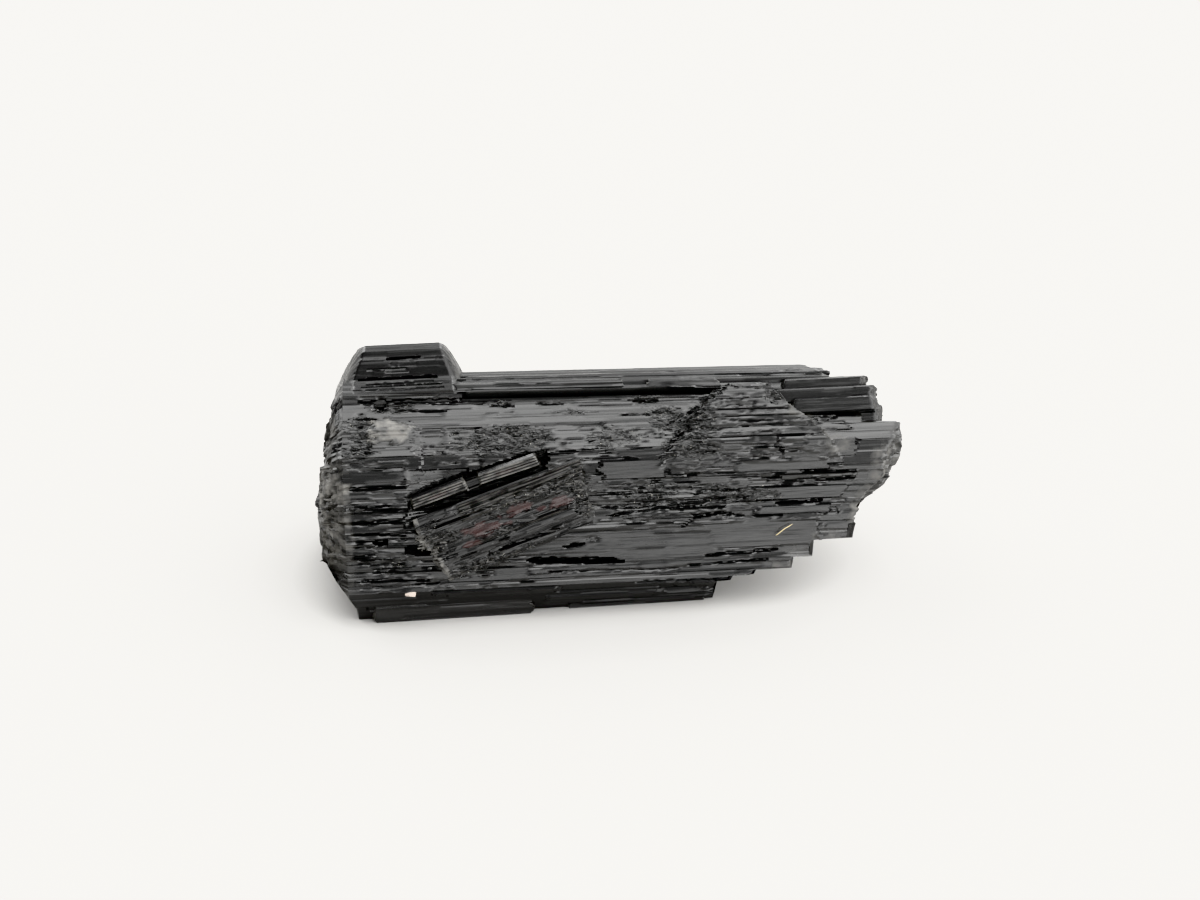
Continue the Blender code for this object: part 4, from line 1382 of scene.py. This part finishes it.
@dataclass(frozen=True)
class Scatter:
    """Fragments strewn over a form where it is crumbled."""

    name: str
    density: float  # to a square mm, where it is most crumbled
    least: Triple  # length, width and thickness in mm
    most: Triple
    turn: Triple  # most turn about its length, its width and the surface's normal
    seed: int
    corners: int = 5
    lodged_gain: float = 1.0  # how much denser they lie over the broad lodged crystal

    def tree(self) -> bpy.types.NodeTree:
        """Builds the node tree that strews them.

        Returns:
            The tree, with named inputs for its sizes.
        """
        tree = bpy.data.node_groups.new(self.name, "GeometryNodeTree")
        kinds = {
            "Geometry": "Geometry", "Density": "Float", "Least size": "Vector", "Most size": "Vector",
            "Turn": "Vector", "Seed": "Int", "Material": "Material",
        }
        for label, kind in kinds.items():
            tree.interface.new_socket(name=label, in_out="INPUT", socket_type=f"NodeSocket{kind}")
        tree.interface.new_socket(name="Geometry", in_out="OUTPUT", socket_type="NodeSocketGeometry")
        sketch = NodeSketch(tree)
        given = sketch.add("NodeGroupInput").outputs
        crumbled = sketch.add("GeometryNodeInputNamedAttribute", {"Name": "crumb"}, data_type="FLOAT")
        density = sketch.math("MULTIPLY", crumbled.outputs["Attribute"], given["Density"])
        points = sketch.add(
            "GeometryNodeDistributePointsOnFaces",
            {"Mesh": given["Geometry"], "Density": density, "Seed": given["Seed"]},
        ).outputs
        shard = sketch.add("GeometryNodeMeshCone", {
            "Vertices": self.corners, "Radius Top": 0.3, "Radius Bottom": 0.5, "Depth": 1.0,
        }).outputs["Mesh"]
        laid = sketch.add("GeometryNodeTransform", {
            "Geometry": shard, "Rotation": (0.0, math.radians(90), 0.0), "Translation": (-0.5, 0.0, 0.0),
        }).outputs[0]
        align = "FunctionNodeAlignRotationToVector"
        upright = sketch.add(align, {"Vector": points["Normal"]}, axis="Z").outputs[0]
        sockets = {"Rotation": upright, "Vector": (1.0, 0.0, 0.0)}
        lengthwise = sketch.add(align, sockets, axis="X", pivot_axis="Z").outputs[0]
        turned, size = (
            sketch.add(
                "FunctionNodeRandomValue", {"Min": low, "Max": high, "Seed": seed}, data_type="FLOAT_VECTOR",
            ).outputs[0]
            for low, high, seed in (
                (sketch.scaled(given["Turn"], -1.0), given["Turn"], 5),
                (given["Least size"], given["Most size"], 9),
            )
        )
        sockets = {"Rotation": lengthwise, "Rotate By": turned}
        rotation = sketch.add("FunctionNodeRotateRotation", sockets, rotation_space="LOCAL").outputs[0]
        strewn = sketch.add("GeometryNodeInstanceOnPoints", {
            "Points": points["Points"], "Instance": laid, "Rotation": rotation, "Scale": size,
        }).outputs[0]
        real = sketch.add("GeometryNodeRealizeInstances", {"Geometry": strewn}).outputs[0]
        dressed = sketch.add("GeometryNodeSetMaterial", {"Geometry": real, "Material": given["Material"]})
        sketch.add("NodeGroupOutput", {"Geometry": dressed.outputs[0]})
        return tree

    def strew(self, over: Object, material: Material, name: str, gain: float = 1.0) -> Object:
        """Strews the fragments over a finished form.

        Args:
            over: The form, which stays as it is.
            material: The fragments' finish.
            name: The new piece's name.
            gain: How much denser they lie.

        Returns:
            The fragments, as one plain mesh.
        """
        carrier = bpy.data.objects.new(f"{name}_carrier", over.data)
        bpy.context.scene.collection.objects.link(carrier)
        modifier = carrier.modifiers.new("strew", "NODES")
        modifier.node_group = self.tree()
        values = {
            "Density": self.density * gain / MM**2, "Turn": list(self.turn), "Seed": self.seed,
            "Least size": [v * MM for v in self.least], "Most size": [v * MM for v in self.most],
            "Material": material,
        }
        for socket in modifier.node_group.interface.items_tree:
            if socket.in_out == "INPUT" and socket.name in values:
                modifier[socket.identifier] = values[socket.name]
        graph = bpy.context.evaluated_depsgraph_get()
        mesh = bpy.data.meshes.new_from_object(carrier.evaluated_get(graph), depsgraph=graph)
        carrier.modifiers.remove(modifier)
        bpy.data.objects.remove(carrier)
        mesh.name = name
        obj = bpy.data.objects.new(name, mesh)
        bpy.context.scene.collection.objects.link(obj)
        return obj


# ---- sub-assemblies


def add_piece(obj: Object, material: Material | None = None) -> Object:
    """Makes an object a piece of the crystal.

    Args:
        obj: The object, in place.
        material: Its finish, unless it already has one.

    Returns:
        The same object.
    """
    if material is not None:
        obj.data.materials.clear()
        obj.data.materials.append(material)
    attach(obj, BODY)
    faces = sum(len(polygon.vertices) - 2 for polygon in obj.data.polygons)
    LOG.info("%s: %d triangles", obj.name, faces)
    return obj


def dress_rod(relief: Relief) -> None:
    """Gives a rod its strips, layers and hairlines.

    Args:
        relief: The rod's relief, still plain.
    """
    relief.striate((0.14, 0.7), 0.055, 0.1, 2)
    whole = (relief.x[0], relief.x[-1], relief.s[0], relief.s[-1])
    relief.slabs(9, whole, (-0.1, 0.1), (0.8, 4.0), (0.15, 0.6), 0.25)
    relief.crumb[:] = 0.06
    relief.comb(0.02, 2.0)


@dataclass
class Rods:
    """The rods of the crown and of the stepped right end."""

    crown: Rows = (  # x start and end, y, z, width, depth
        (-14.5, 20.4, 5.9, 17.75, 1.7, 1.3), (-12.6, 21.0, 4.3, 18.2, 1.5, 1.2),
        (-13.8, 2.0, 2.9, 18.6, 1.0, 0.9), (4.5, 11.0, 2.9, 17.9, 1.1, 1.0),
        (-23.2, -3.0, 7.8, 16.8, 1.6, 1.3), (-1.0, 22.6, 7.9, 15.9, 1.7, 1.4),
        (9.5, 21.2, 3.95, 17.54, 2.8, 1.1), (10.5, 23.2, 2.0, 17.06, 1.3, 1.0),
    )
    fall: float = 0.03  # of a crown rod, for each mm of its length
    front: Rows = (  # x start and end, how far up LEAN, along FRONT, width, depth
        (17.0, 25.4, 16.1, 5.8, 1.4, 3.4), (16.0, 26.1, 15.2, 6.9, 1.35, 3.0),
        (17.5, 26.0, 14.2, 7.6, 1.4, 3.2), (15.0, 26.7, 13.1, 6.0, 1.75, 3.4),
    )
    back: Rows = (
        (15.0, 26.6, 12.2, 1.5, 2.4, 3.6), (14.0, 25.2, 9.4, -2.5, 2.6, 3.2),
        (14.0, 25.0, 13.0, -2.6, 2.4, 3.0), (12.0, 24.0, 7.2, -6.4, 2.2, 2.6),
        (13.0, 25.6, 6.8, 1.2, 2.6, 3.8), (13.0, 24.6, 11.6, -5.4, 2.0, 2.4),
        (13.0, 25.9, 9.9, 2.6, 2.0, 3.0), (13.0, 24.8, 5.6, -2.8, 2.2, 2.8),
        (13.0, 25.0, 15.2, 0.8, 2.0, 3.0), (12.0, 23.6, 9.8, -7.2, 2.0, 2.4),
    )

    @staticmethod
    def profile(width: float, depth: float) -> Knots:
        """Returns a rough hexagon, wider than it is deep."""
        a, o = width / 2, depth / 2
        return (
            (-a, -o * 0.5), (-a * 0.4, -o), (a * 0.6, -o), (a, -o * 0.3),
            (a * 0.7, o * 0.8), (-a * 0.3, o), (-a * 0.95, o * 0.35),
        )

    @staticmethod
    def tight(width: float, depth: float) -> Knots:
        """Returns the outline of a rod that stands close against its neighbours."""
        a, o = width / 2, depth / 2
        return (
            (-a, -o), (a, -o), (a, o * 0.75), (a * 0.82, o * 0.97),
            (-a * 0.1, o), (-a * 0.86, o * 0.98), (-a, o * 0.8),
        )

    @staticmethod
    def ridged(width: float, depth: float) -> Knots:
        """Returns the outline of a rod with a steep front and a flat top."""
        a, o = width / 2, depth / 2
        return (-a, -o), (a, -o), (a, o * 0.5), (a * 0.9, o * 0.9), (-a + 0.55 * o, o), (-a, 0.0)

    def crown_form(self) -> MeshPart:
        """Builds the rods along the crown.

        Returns:
            All of them as one form.
        """
        parts = []
        for index, (start, end, y, z, width, depth) in enumerate(self.crown):
            bar = Bar(
                (start, y, z), (end, y, z - self.fall * (end - start)), (0, 0.995, -0.1), (0, 0.1, 0.995),
                self.ridged(width, depth), 200 + index, (0.3, 0.0), (-0.4, 0.0), run=0.35, dull=0.16,
            )
            parts.append(bar.form(dress_rod))
        return MeshPart.joined(parts)

    def end_form(self, rods: Rows, seed: int) -> MeshPart:
        """Builds some of the rods of the broken end.

        Args:
            rods: Their sizes.
            seed: Picks their relief.

        Returns:
            All of them as one form.
        """
        parts, underside = [], Underside()
        for index, (start, end, lift, front, width, depth) in enumerate(rods):
            foot = LEAN * lift + FRONT * front
            slant = 0.3 * math.cos(1.7 * index)
            bar = Bar(
                (start, foot[1], foot[2]), (end - 0.2, foot[1], foot[2]), tuple(LEAN), tuple(FRONT),
                self.tight(width, depth), seed + index, (0.4, 0.0), (slant, 0.0), run=0.24, step=0.12,
                ragged=0.2, dome=0.35, chamfer=(1.3, 0.7), worn=0.05, evened=0.45, dull=0.2,
            )
            part = bar.form(dress_rod)
            part.points = underside.trimmed(part.points)[0]
            parts.append(part)
        return MeshPart.joined(parts)

    def dress(self, stone: Material) -> list[Object]:
        """Makes the rods' pieces.

        Args:
            stone: Their finish.

        Returns:
            The pieces.
        """
        return [
            add_piece(self.crown_form().to_object("crown_rods"), stone),
            add_piece(self.end_form(self.front, 230).to_object("end_rods_front"), stone),
            add_piece(self.end_form(self.back, 260).to_object("end_rods_back"), stone),
        ]


@dataclass
class Ledges:
    """The two long rods that stand out along the front bottom edge."""

    spans: tuple[Triple, ...] = ((-22.4, -7.3, -6.75), (-4.3, 8.8, -6.2))  # x start, end, y
    profile: Knots = ((-0.9, 0.0), (2.2, 0.0), (1.6, 2.4), (0.1, 2.9), (-0.75, 1.5))

    def dress(self, stone: Material) -> Object:
        """Makes the ledges' piece.

        Args:
            stone: Its finish.

        Returns:
            The piece.
        """
        parts = []
        for index, (start, end, y) in enumerate(self.spans):
            bar = Bar(
                (start, y, 0.0), (end, y + 0.1, 0.0), (0, 1, 0), (0, 0, 1), self.profile, 290 + index,
                (-0.3, 0.2), (0.15, -0.12), run=0.2, step=0.1, ragged=0.35,
            )
            parts.append(bar.form(dress_rod))
        return add_piece(MeshPart.joined(parts).to_object("ledges"), stone)


@dataclass
class Spur:
    """The short parallel prism, standing above the crown at the left."""

    foot: float = 17.6
    profile: Knots = (  # (y, z), front first
        (1.7, 17.6), (2.0, 18.9), (3.5, 19.2), (3.95, 19.35), (4.2, 19.7), (4.75, 20.6), (5.0, 20.9),
        (5.15, 20.95), (5.5, 21.45), (6.6, 21.5), (8.2, 20.5), (9.3, 18.6), (9.8, 15.6), (6.0, 14.0),
    )
    ends: Pair = (-24.0, -12.9)  # x at its foot
    slants: Pair = (0.46, -0.385)  # x for each mm up
    grooves: Rows = (  # start and end along it, way round, width, depth
        (3.4, 8.0, 5.2, 0.24, 0.4), (0.3, 9.6, 3.3, 0.28, 0.35), (0.0, 10.2, 1.75, 0.24, 0.25),
        (0.6, 10.0, 2.3, 0.26, 0.3), (1.4, 9.0, 2.75, 0.2, 0.25), (1.0, 6.0, 4.2, 0.1, 0.12),
    )

    def relief(self, relief: Relief) -> None:
        """Gives the spur its narrow bands.

        Args:
            relief: Its relief, still plain.
        """
        dress_rod(relief)
        relief.slabs(16, (1.0, 9.0, 0.5, 6.0), (-0.1, 0.08), (1.0, 6.0), (0.12, 0.5), 0.3)
        relief.height *= 0.5
        for start, end, way, width, depth in self.grooves:
            relief.groove((start, way), (end, way + 0.04), width, depth, 0.05)

    def dress(self, stone: Material) -> Object:
        """Makes the spur's piece.

        Args:
            stone: Its finish.

        Returns:
            The piece.
        """
        profile = tuple((y, z - self.foot) for y, z in self.profile)
        bar = Bar(
            (self.ends[0], 0.0, self.foot), (self.ends[1], 0.0, self.foot), (0, 1, 0), (0, 0, 1),
            profile, 300, (0.0, self.slants[0]), (0.0, self.slants[1]),
            run=0.14, step=0.1, ragged=0.07, dome=0.75, worn=0.03, dull=0.3,
        )
        return add_piece(bar.form(self.relief).to_object("spur"), stone)


@dataclass
class Lodged:
    """The broad crystal and the broken thin rod that lie aslant in the main face."""

    broad: tuple[Triple, Triple] = ((-16.6, 3.5, 0.0), (-2.0, 8.4, -0.2))  # (x, up, out)
    broad_profile: Knots = (
        (-3.3, -1.6), (3.3, -1.6), (3.5, 0.0), (2.6, 0.5), (1.3, 0.45), (0.9, 0.24),
        (-0.3, 0.24), (-1.1, 0.58), (-2.5, 0.45), (-3.4, -0.15),
    )
    rods: tuple[tuple[Triple, Triple], ...] = (
        ((-18.1, 8.1, -0.15), (-13.2, 9.75, -0.05)), ((-12.0, 10.1, -0.15), (-6.6, 11.7, -0.05)),
    )
    rod_profile: Knots = (
        (-0.7, -1.6), (0.7, -1.6), (0.75, -0.1), (0.5, 0.32), (-0.45, 0.22), (-0.75, -0.15),
    )
    joint: tuple[Triple, Triple] = ((-13.6, 9.4, -0.7), (-11.6, 10.1, -0.7))
    flats: tuple[tuple[float, float, Pair], ...] = (  # place along and across, reach
        (5.3, 0.5, (3.0, 1.0)), (9.2, 1.05, (2.1, 0.75)), (12.8, 0.4, (1.7, 0.75)),
        (3.4, -0.5, (1.2, 0.4)), (7.6, 0.2, (0.9, 0.35)), (11.0, 0.3, (0.8, 0.3)),
    )
    ridges: Row = (-0.55, 1.9, 2.3, 2.65, 2.95, 3.2)  # places across the broad crystal
    crumbled: tuple[tuple[float, float, Pair, float, int], ...] = (  # place, reach, weight, seed
        (4.2, -2.7, (5.5, 1.1), 1.0, 11), (14.6, 0.5, (1.4, 3.2), 0.9, 12),
        (1.2, 0.8, (2.4, 2.2), 0.8, 13), (8.6, 1.9, (5.0, 0.8), 0.6, 14),
        (7.4, -0.4, (4.0, 0.6), 0.6, 15), (12.4, 1.6, (2.4, 1.0), 0.7, 16),
    )
    rod_ridges: Knots = ((-0.36, 0.05), (-0.08, 0.04), (0.16, 0.04), (0.4, 0.05))
    rod_furrows: Row = (-0.22, 0.04, 0.28)
    taper: Taper = Taper()

    def on_face(self, x: float, up: float, out: float) -> Array:
        """Finds a point by the main face.

        Args:
            x: Its x.
            up: How far up the face it is.
            out: How far out from it.

        Returns:
            The point.
        """
        foot_and_top = np.array([1.0, 1.999])
        (y, y_top), (z, z_top) = (axis[0] for axis in self.taper.at(np.array([x]), foot_and_top))
        along = np.array((y_top - y, z_top - z))
        along /= np.hypot(*along)
        return np.array((x, y + along[0] * up - along[1] * out, z + along[1] * up + along[0] * out))

    def bar(self, ends: tuple[Triple, Triple], profile: Knots, seed: int, **more: object) -> Bar:
        """Lays a bar in the main face.

        Args:
            ends: Its two ends as (x, up, out).
            profile: Its outline.
            seed: Picks its relief.
            more: Other sizes of the bar.

        Returns:
            The bar.
        """
        start, end = self.on_face(*ends[0]), self.on_face(*ends[1])
        normal = self.on_face(ends[0][0], 6.0, 1.0) - self.on_face(ends[0][0], 6.0, 0.0)
        along = (end - start) / np.linalg.norm(end - start)
        across = np.cross(normal, along)
        across /= np.linalg.norm(across)
        return Bar(tuple(start), tuple(end), tuple(across), tuple(normal), profile, seed, **more)

    def broad_relief(self, relief: Relief) -> None:
        """Gives the broad crystal its ridges, brown flats and crumbled corners, and painted highlights and
        glints.

        Args:
            relief: Its relief, still plain, which goes by the way across.
        """
        relief.striate((0.1, 0.45), 0.06, 0.12, 4)
        whole = (0.0, 15.4, -3.4, 3.4)
        relief.slabs(90, whole, (-0.1, 0.1), (0.6, 4.0), (0.1, 0.4), 0.4)
        for along, across, reach in self.flats:
            flat = relief.blotches(along, across, reach, int(along * 10), 0.5, 0.2)
            relief.height = relief.height * (1 - flat) + (0.04 - 0.16 * (relief.s - across)) * flat
            relief.brown = np.maximum(relief.brown, flat)
        smooth = relief.patch(7.0, 13.8, -1.65, -0.75, 0.5)
        relief.height = np.where(smooth, 0.1, relief.height)
        relief.groove((5.6, -1.85), (11.8, -1.95), 0.34, 0.45)
        relief.groove((1.2, 2.2), (14.0, 2.35), 0.16, 0.25)
        # Each ridge is raised a little and painted pale: a painted highlight along it.
        for across in self.ridges:
            ridge = relief.line(across, 0.09) * (relief.x > 4.0)[:, None]
            relief.height += 0.14 * ridge
            relief.whiten(0.6 * ridge)
        shown = relief.s > BURIED / 2
        # A pale band along its left end: a painted highlight on that edge.
        relief.whiten(0.8 * (relief.x < 0.35)[:, None] * shown)
        for along, across, reach, weight, seed in self.crumbled:
            relief.loosen(weight * relief.blotches(along, across, reach, seed, 0.7, 0.5))
        relief.crumb *= shown
        relief.crumble(relief.crumb, (0.55, 0.22), 0.26, 21)
        # Pale flecks where it is crumbled: painted glints.
        x, s = relief.grid()
        painted_glint_flecks = np.clip(4 * value_noise(x / 0.4, s / 0.15, 23) - 2.5, 0, 1)
        relief.whiten(0.75 * relief.crumb * painted_glint_flecks)
        relief.comb(0.03, 1.6)

    def rod_relief(self, relief: Relief) -> None:
        """Gives a thin rod its few clear ridges, with painted highlights along them.

        Args:
            relief: Its relief, still plain, which goes by the way across.
        """
        relief.striate((0.2, 0.4), 0.02, 0.04, 1)
        for across, rise in self.rod_ridges:
            relief.height += rise * relief.line(across, 0.09)
            # Its crest painted pale: a painted highlight along the ridge.
            relief.whiten(relief.line(across, 0.07, 1.3))
        for across in self.rod_furrows:
            relief.height -= 0.06 * relief.line(across, 0.05)
        relief.comb(0.012, 2.0)
        relief.brown[:] = 0.5 * relief.blotches(2.6, 0.0, (2.0, 0.4), 5)

    def dress(self, stone: Material) -> list[Object]:
        """Makes the lodged crystals' pieces.

        Args:
            stone: Their finish.

        Returns:
            The pieces, the broad crystal first.
        """
        broad = self.bar(
            self.broad, self.broad_profile, 320, start_slant=(-0.22, 0.0), end_slant=(0.1, 0.0),
            run=0.1, step=0.07, ragged=0.45, by_width=True,
        )
        pieces = [add_piece(broad.form(self.broad_relief).to_object("lodged_broad"), stone)]
        for index, (name, ends) in enumerate(zip(("left", "right"), self.rods)):
            rod = self.bar(
                ends, self.rod_profile, 330 + index, start_slant=(0.1, 0.0), end_slant=(-0.15, 0.0),
                run=0.1, step=0.05, ragged=0.2, by_width=True,
            )
            pieces.append(add_piece(rod.form(self.rod_relief).to_object(f"lodged_rod_{name}"), stone))
        joint = self.bar(self.joint, Rods.profile(1.0, 1.2), 340, run=0.1, step=0.07, ragged=0.3)
        pieces.append(add_piece(joint.form(dress_rod).to_object("lodged_joint"), stone))
        return pieces


@dataclass
class Grain:
    """A pale grain stuck low on the left of the main face."""

    place: Triple = (-18.7, -8.25, 3.4)
    size: Triple = (1.25, 0.55, 0.65)
    facets: int = 14
    cut_depths: Pair = (0.62, 0.95)  # of a facet from the middle, as shares of half the size
    rows: int = 14
    columns: int = 22
    seed: int = 3

    def dress(self, finish: Material) -> Object:
        """Makes the grain's piece.

        Args:
            finish: Its finish.

        Returns:
            The piece.
        """
        draw = np.random.default_rng(self.seed)
        turn = np.linspace(0, math.tau, self.columns, endpoint=False)
        tilt = np.linspace(0.12, math.pi - 0.12, self.rows)[:, None]
        direction = np.stack([
            np.broadcast_to(np.cos(tilt), (self.rows, self.columns)),
            np.sin(tilt) * np.cos(turn), np.sin(tilt) * np.sin(turn),
        ], axis=-1)
        cuts = draw.normal(size=(self.facets, 3))
        cuts /= np.linalg.norm(cuts, axis=1)[:, None]
        reach = draw.uniform(*self.cut_depths, self.facets) / np.maximum(direction @ cuts.T, 0.05)
        points = direction * np.minimum(reach.min(axis=-1), 1.15)[..., None] * np.array(self.size) / 2
        part = MeshPart.from_rings(points + np.array(self.place))
        return add_piece(part.to_object("pale_grain"), finish)


@dataclass
class Fibre:
    """A short curled fibre that clings to the right of the main face."""

    path: tuple[Triple, ...] = (
        (15.25, -7.02, 6.75), (15.6, -6.98, 7.0), (16.0, -6.9, 7.3),
        (16.4, -6.8, 7.48), (16.85, -6.62, 7.62),
    )
    thickness: float = 0.085
    points: int = 40  # along it
    face: Triple = (0.0, -0.94, 0.33)  # the way the face under it looks

    def dress(self, finish: Material) -> Object:
        """Makes the fibre's piece.

        Args:
            finish: Its finish.

        Returns:
            The piece.
        """
        knots = np.array(self.path)
        fine = np.linspace(0, len(knots) - 1, self.points)
        line = np.stack([np.interp(fine, range(len(knots)), knots[:, i]) for i in range(3)], axis=-1)
        for _ in range(6):
            line[1:-1] = (line[:-2] + 2 * line[1:-1] + line[2:]) / 4
        along = np.gradient(line, axis=0)
        along /= np.linalg.norm(along, axis=1)[:, None]
        side = np.cross(along, self.face)
        side /= np.linalg.norm(side, axis=1)[:, None]
        out = np.cross(side, along)
        turn = np.linspace(0, math.tau, 10, endpoint=False)
        width = self.thickness / 2 * ramp(np.arange(len(line)), ((0, 0.5), (3, 1.0), (34, 0.8), (39, 0.3)))
        rings = line[:, None] + width[:, None, None] * (
            side[:, None] * np.cos(turn)[None, :, None] + out[:, None] * np.sin(turn)[None, :, None])
        return add_piece(MeshPart.from_rings(rings).to_object("fibre", 60.0), finish)


# ---- the studio


@dataclass
class Studio:
    """A pale floor, a soft sky that is brightest behind the crystal, and the camera."""

    floor_size: float = 6.0  # metres
    floor_colour: Triple = (0.466, 0.459, 0.448)
    azimuth: float = -6.0  # degrees
    elevation: float = 30.0
    distance: float = 0.187  # metres
    target: Triple = (-0.00085, -0.00225, 0.0128)
    nearest: float = 0.005  # metres that the camera still sees
    lens: float = 60.0  # mm
    sensor: float = 36.0
    # Radiances of the sky as (height, radiance). The faces mirror a narrow stripe of it,
    # before, above and behind them; the rest lights the floor, mostly from behind.
    mirrored_before: Knots = (
        (0.0, 2.9), (0.1, 2.55), (0.2, 1.95), (0.36, 0.85), (0.5, 0.4),
        (0.64, 0.75), (0.8, 1.8), (0.9, 2.7), (1.0, 4.6),
    )
    mirrored_behind: Knots = (
        (0.0, 1.2), (0.5, 1.2), (0.7, 1.3), (0.8, 1.5), (0.9, 2.4), (1.0, 4.6),
    )
    rest_before: Knots = ((0.0, 0.55), (0.25, 0.4), (0.5, 0.35), (0.75, 0.3), (1.0, 0.3))
    rest_behind: Knots = (
        (0.0, 1.5), (0.3, 3.2), (0.48, 6.6), (0.62, 7.6), (0.74, 6.0), (0.9, 0.8), (1.0, 0.3),
    )
    rest_gains: tuple[Pair, Pair] = ((0.8, 12.0), (0.95, 0.85))  # before and behind, from left to right
    rest_span: Pair = (-0.8, 0.8)  # from where to where along x they change over
    brightest: float = 8.0  # that a ramp may hold
    mirrored_turn: Pair = (-0.2, 0.6)  # from where to where along y it changes over to behind
    rest_turn: Pair = (0.02, 0.32)
    stripe: Triple = (0.05, 0.28, 0.45)  # its middle along x, half its width and where it ends
    narrowing: float = 2.2  # how much narrower it is behind
    stripe_gains: Pair = (0.85, 1.8)  # of it before, from left to right
    stripe_span: Pair = (-0.1, 0.3)
    tint: Triple = (1.0, 1.0, 0.99)

    def build(self) -> None:
        """Sets up all of it."""
        self.floor()
        self.sky()
        self.camera()

    def floor(self) -> None:
        """Lays the floor just under the crystal."""
        half = self.floor_size / 2
        mesh = bpy.data.meshes.new("floor")
        corners = [(-half, -half, 0), (half, -half, 0), (half, half, 0), (-half, half, 0)]
        mesh.from_pydata(corners, [], [(0, 1, 2, 3)])
        obj = bpy.data.objects.new("floor", mesh)
        bpy.context.scene.collection.objects.link(obj)
        paper = PlainFinish("paper", self.floor_colour, self.floor_colour, 0.9, 0.4, 0.0)
        mesh.materials.append(paper.material())

    def ladder(self, sketch: NodeSketch, height: Output, steps: Sequence[Pair]) -> Output:
        """Grades the sky by its height.

        Args:
            sketch: The sky's tree.
            height: The height, 0 to 1.
            steps: (height, radiance) from below up.

        Returns:
            The radiance.
        """
        node = sketch.add("ShaderNodeValToRGB", {"Fac": height})
        ramp = node.color_ramp
        ramp.interpolation = "LINEAR"
        while len(ramp.elements) < len(steps):
            ramp.elements.new(0.5)
        for element, (place, level) in zip(ramp.elements, steps):
            element.position = place
            element.color = (*[level / self.brightest] * 3, 1.0)
        return sketch.math("MULTIPLY", node.outputs["Color"], self.brightest)

    def sky(self) -> None:
        """Lights everything from all round, most from behind."""
        world = bpy.data.worlds.new("studio")
        bpy.context.scene.world = world
        world.use_nodes = True
        sketch = NodeSketch(world.node_tree)
        direction = sketch.add("ShaderNodeTexCoord").outputs["Generated"]
        x, y, z = sketch.add("ShaderNodeSeparateXYZ", {0: direction}).outputs
        right = sketch.ease(x, *self.stripe_span, *self.stripe_gains)
        before = sketch.math("MULTIPLY", self.ladder(sketch, z, self.mirrored_before), right)
        behind = self.ladder(sketch, z, self.mirrored_behind)
        stripe = sketch.mixed(sketch.ease(y, *self.mirrored_turn), before, behind)
        sides = [
            sketch.math("MULTIPLY", self.ladder(sketch, z, steps), sketch.ease(x, *self.rest_span, *gains))
            for steps, gains in zip((self.rest_before, self.rest_behind), self.rest_gains)
        ]
        rest = sketch.mixed(sketch.ease(y, *self.rest_turn), *sides)
        middle, half, end = self.stripe
        aside = sketch.math("ABSOLUTE", sketch.math("SUBTRACT", x, middle))
        aside = sketch.math("MULTIPLY", aside, sketch.ease(y, *self.rest_turn, 1.0, self.narrowing))
        level = sketch.mixed(sketch.ease(aside, half, end), stripe, rest)
        ground = world.node_tree.nodes["Background"]
        sketch.link(level, ground, "Strength")
        ground.inputs["Color"].default_value = (*self.tint, 1.0)

    def camera(self) -> None:
        """Points the camera."""
        a, e = math.radians(self.azimuth), math.radians(self.elevation)
        back = Vector((math.sin(a) * math.cos(e), -math.cos(a) * math.cos(e), math.sin(e)))
        right = Vector((math.cos(a), math.sin(a), 0.0))
        turn = Matrix((right, back.cross(right), back)).transposed()
        lens = bpy.data.cameras.new("camera")
        lens.lens, lens.sensor_width, lens.clip_start = self.lens, self.sensor, self.nearest
        camera = bpy.data.objects.new("camera", lens)
        camera.matrix_world = Matrix.Translation(Vector(self.target) + back * self.distance) @ turn.to_4x4()
        bpy.context.scene.collection.objects.link(camera)
        scene = bpy.context.scene
        scene.camera = camera
        scene.view_settings.view_transform = "Khronos PBR Neutral"
        scene.view_settings.look = "None"


# ---- assembly


SPLINTERS = Scatter("splinters", 3.0, (0.6, 0.08, 0.04), (2.4, 0.18, 0.1), (0.35, 0.05, 0.05), 5)
CHIPS = Scatter("chips", 20.0, (0.2, 0.1, 0.04), (0.75, 0.28, 0.11), (0.3, 0.26, 0.35), 8)
FLAKES = Scatter("flakes", 45.0, (0.08, 0.05, 0.02), (0.32, 0.14, 0.06), (0.5, 0.45, 0.8), 14, 4, 1.2)
# Painted glints: pale chips strewn where the stone is crumbled, which stand in for glints of light and for a
# few specks.
PAINTED_GLINTS = Scatter("glints", 2.4, (0.05, 0.04, 0.03), (0.17, 0.09, 0.07), (2.0, 2.0, 2.0), 11, 4, 2.5)


def main() -> None:
    """Builds and dresses every piece, then the studio."""
    logging.basicConfig(level=logging.INFO, format="%(name)s: %(message)s")
    stone = StoneFinish("black_tourmaline").material()
    broken = StoneFinish("broken_tourmaline", Pattern.SPACE).material()
    # The painted glints' pale colours.
    glint_paint = PlainFinish("painted_glint", (0.8, 0.78, 0.72), (0.22, 0.2, 0.17), 0.18).material()
    body = Prism().form().to_object("crystal_body")
    add_piece(body, stone)
    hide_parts(NODE)
    Rods().dress(stone)
    Ledges().dress(stone)
    Spur().dress(stone)
    lodged = Lodged().dress(stone)
    for scatter, finish in ((SPLINTERS, broken), (CHIPS, broken), (FLAKES, broken), (PAINTED_GLINTS, glint_paint)):
        add_piece(scatter.strew(body, finish, f"body_{scatter.name}"))
        add_piece(scatter.strew(lodged[0], finish, f"lodged_{scatter.name}", scatter.lodged_gain))
    Grain().dress(PlainFinish("pale_grain", (0.75, 0.66, 0.6), (0.5, 0.42, 0.37), 0.4).material())
    Fibre().dress(PlainFinish("golden_fibre", (0.55, 0.42, 0.2), (0.75, 0.65, 0.4), 0.5).material())
    Studio().build()


if __name__ == "__main__":
    main()
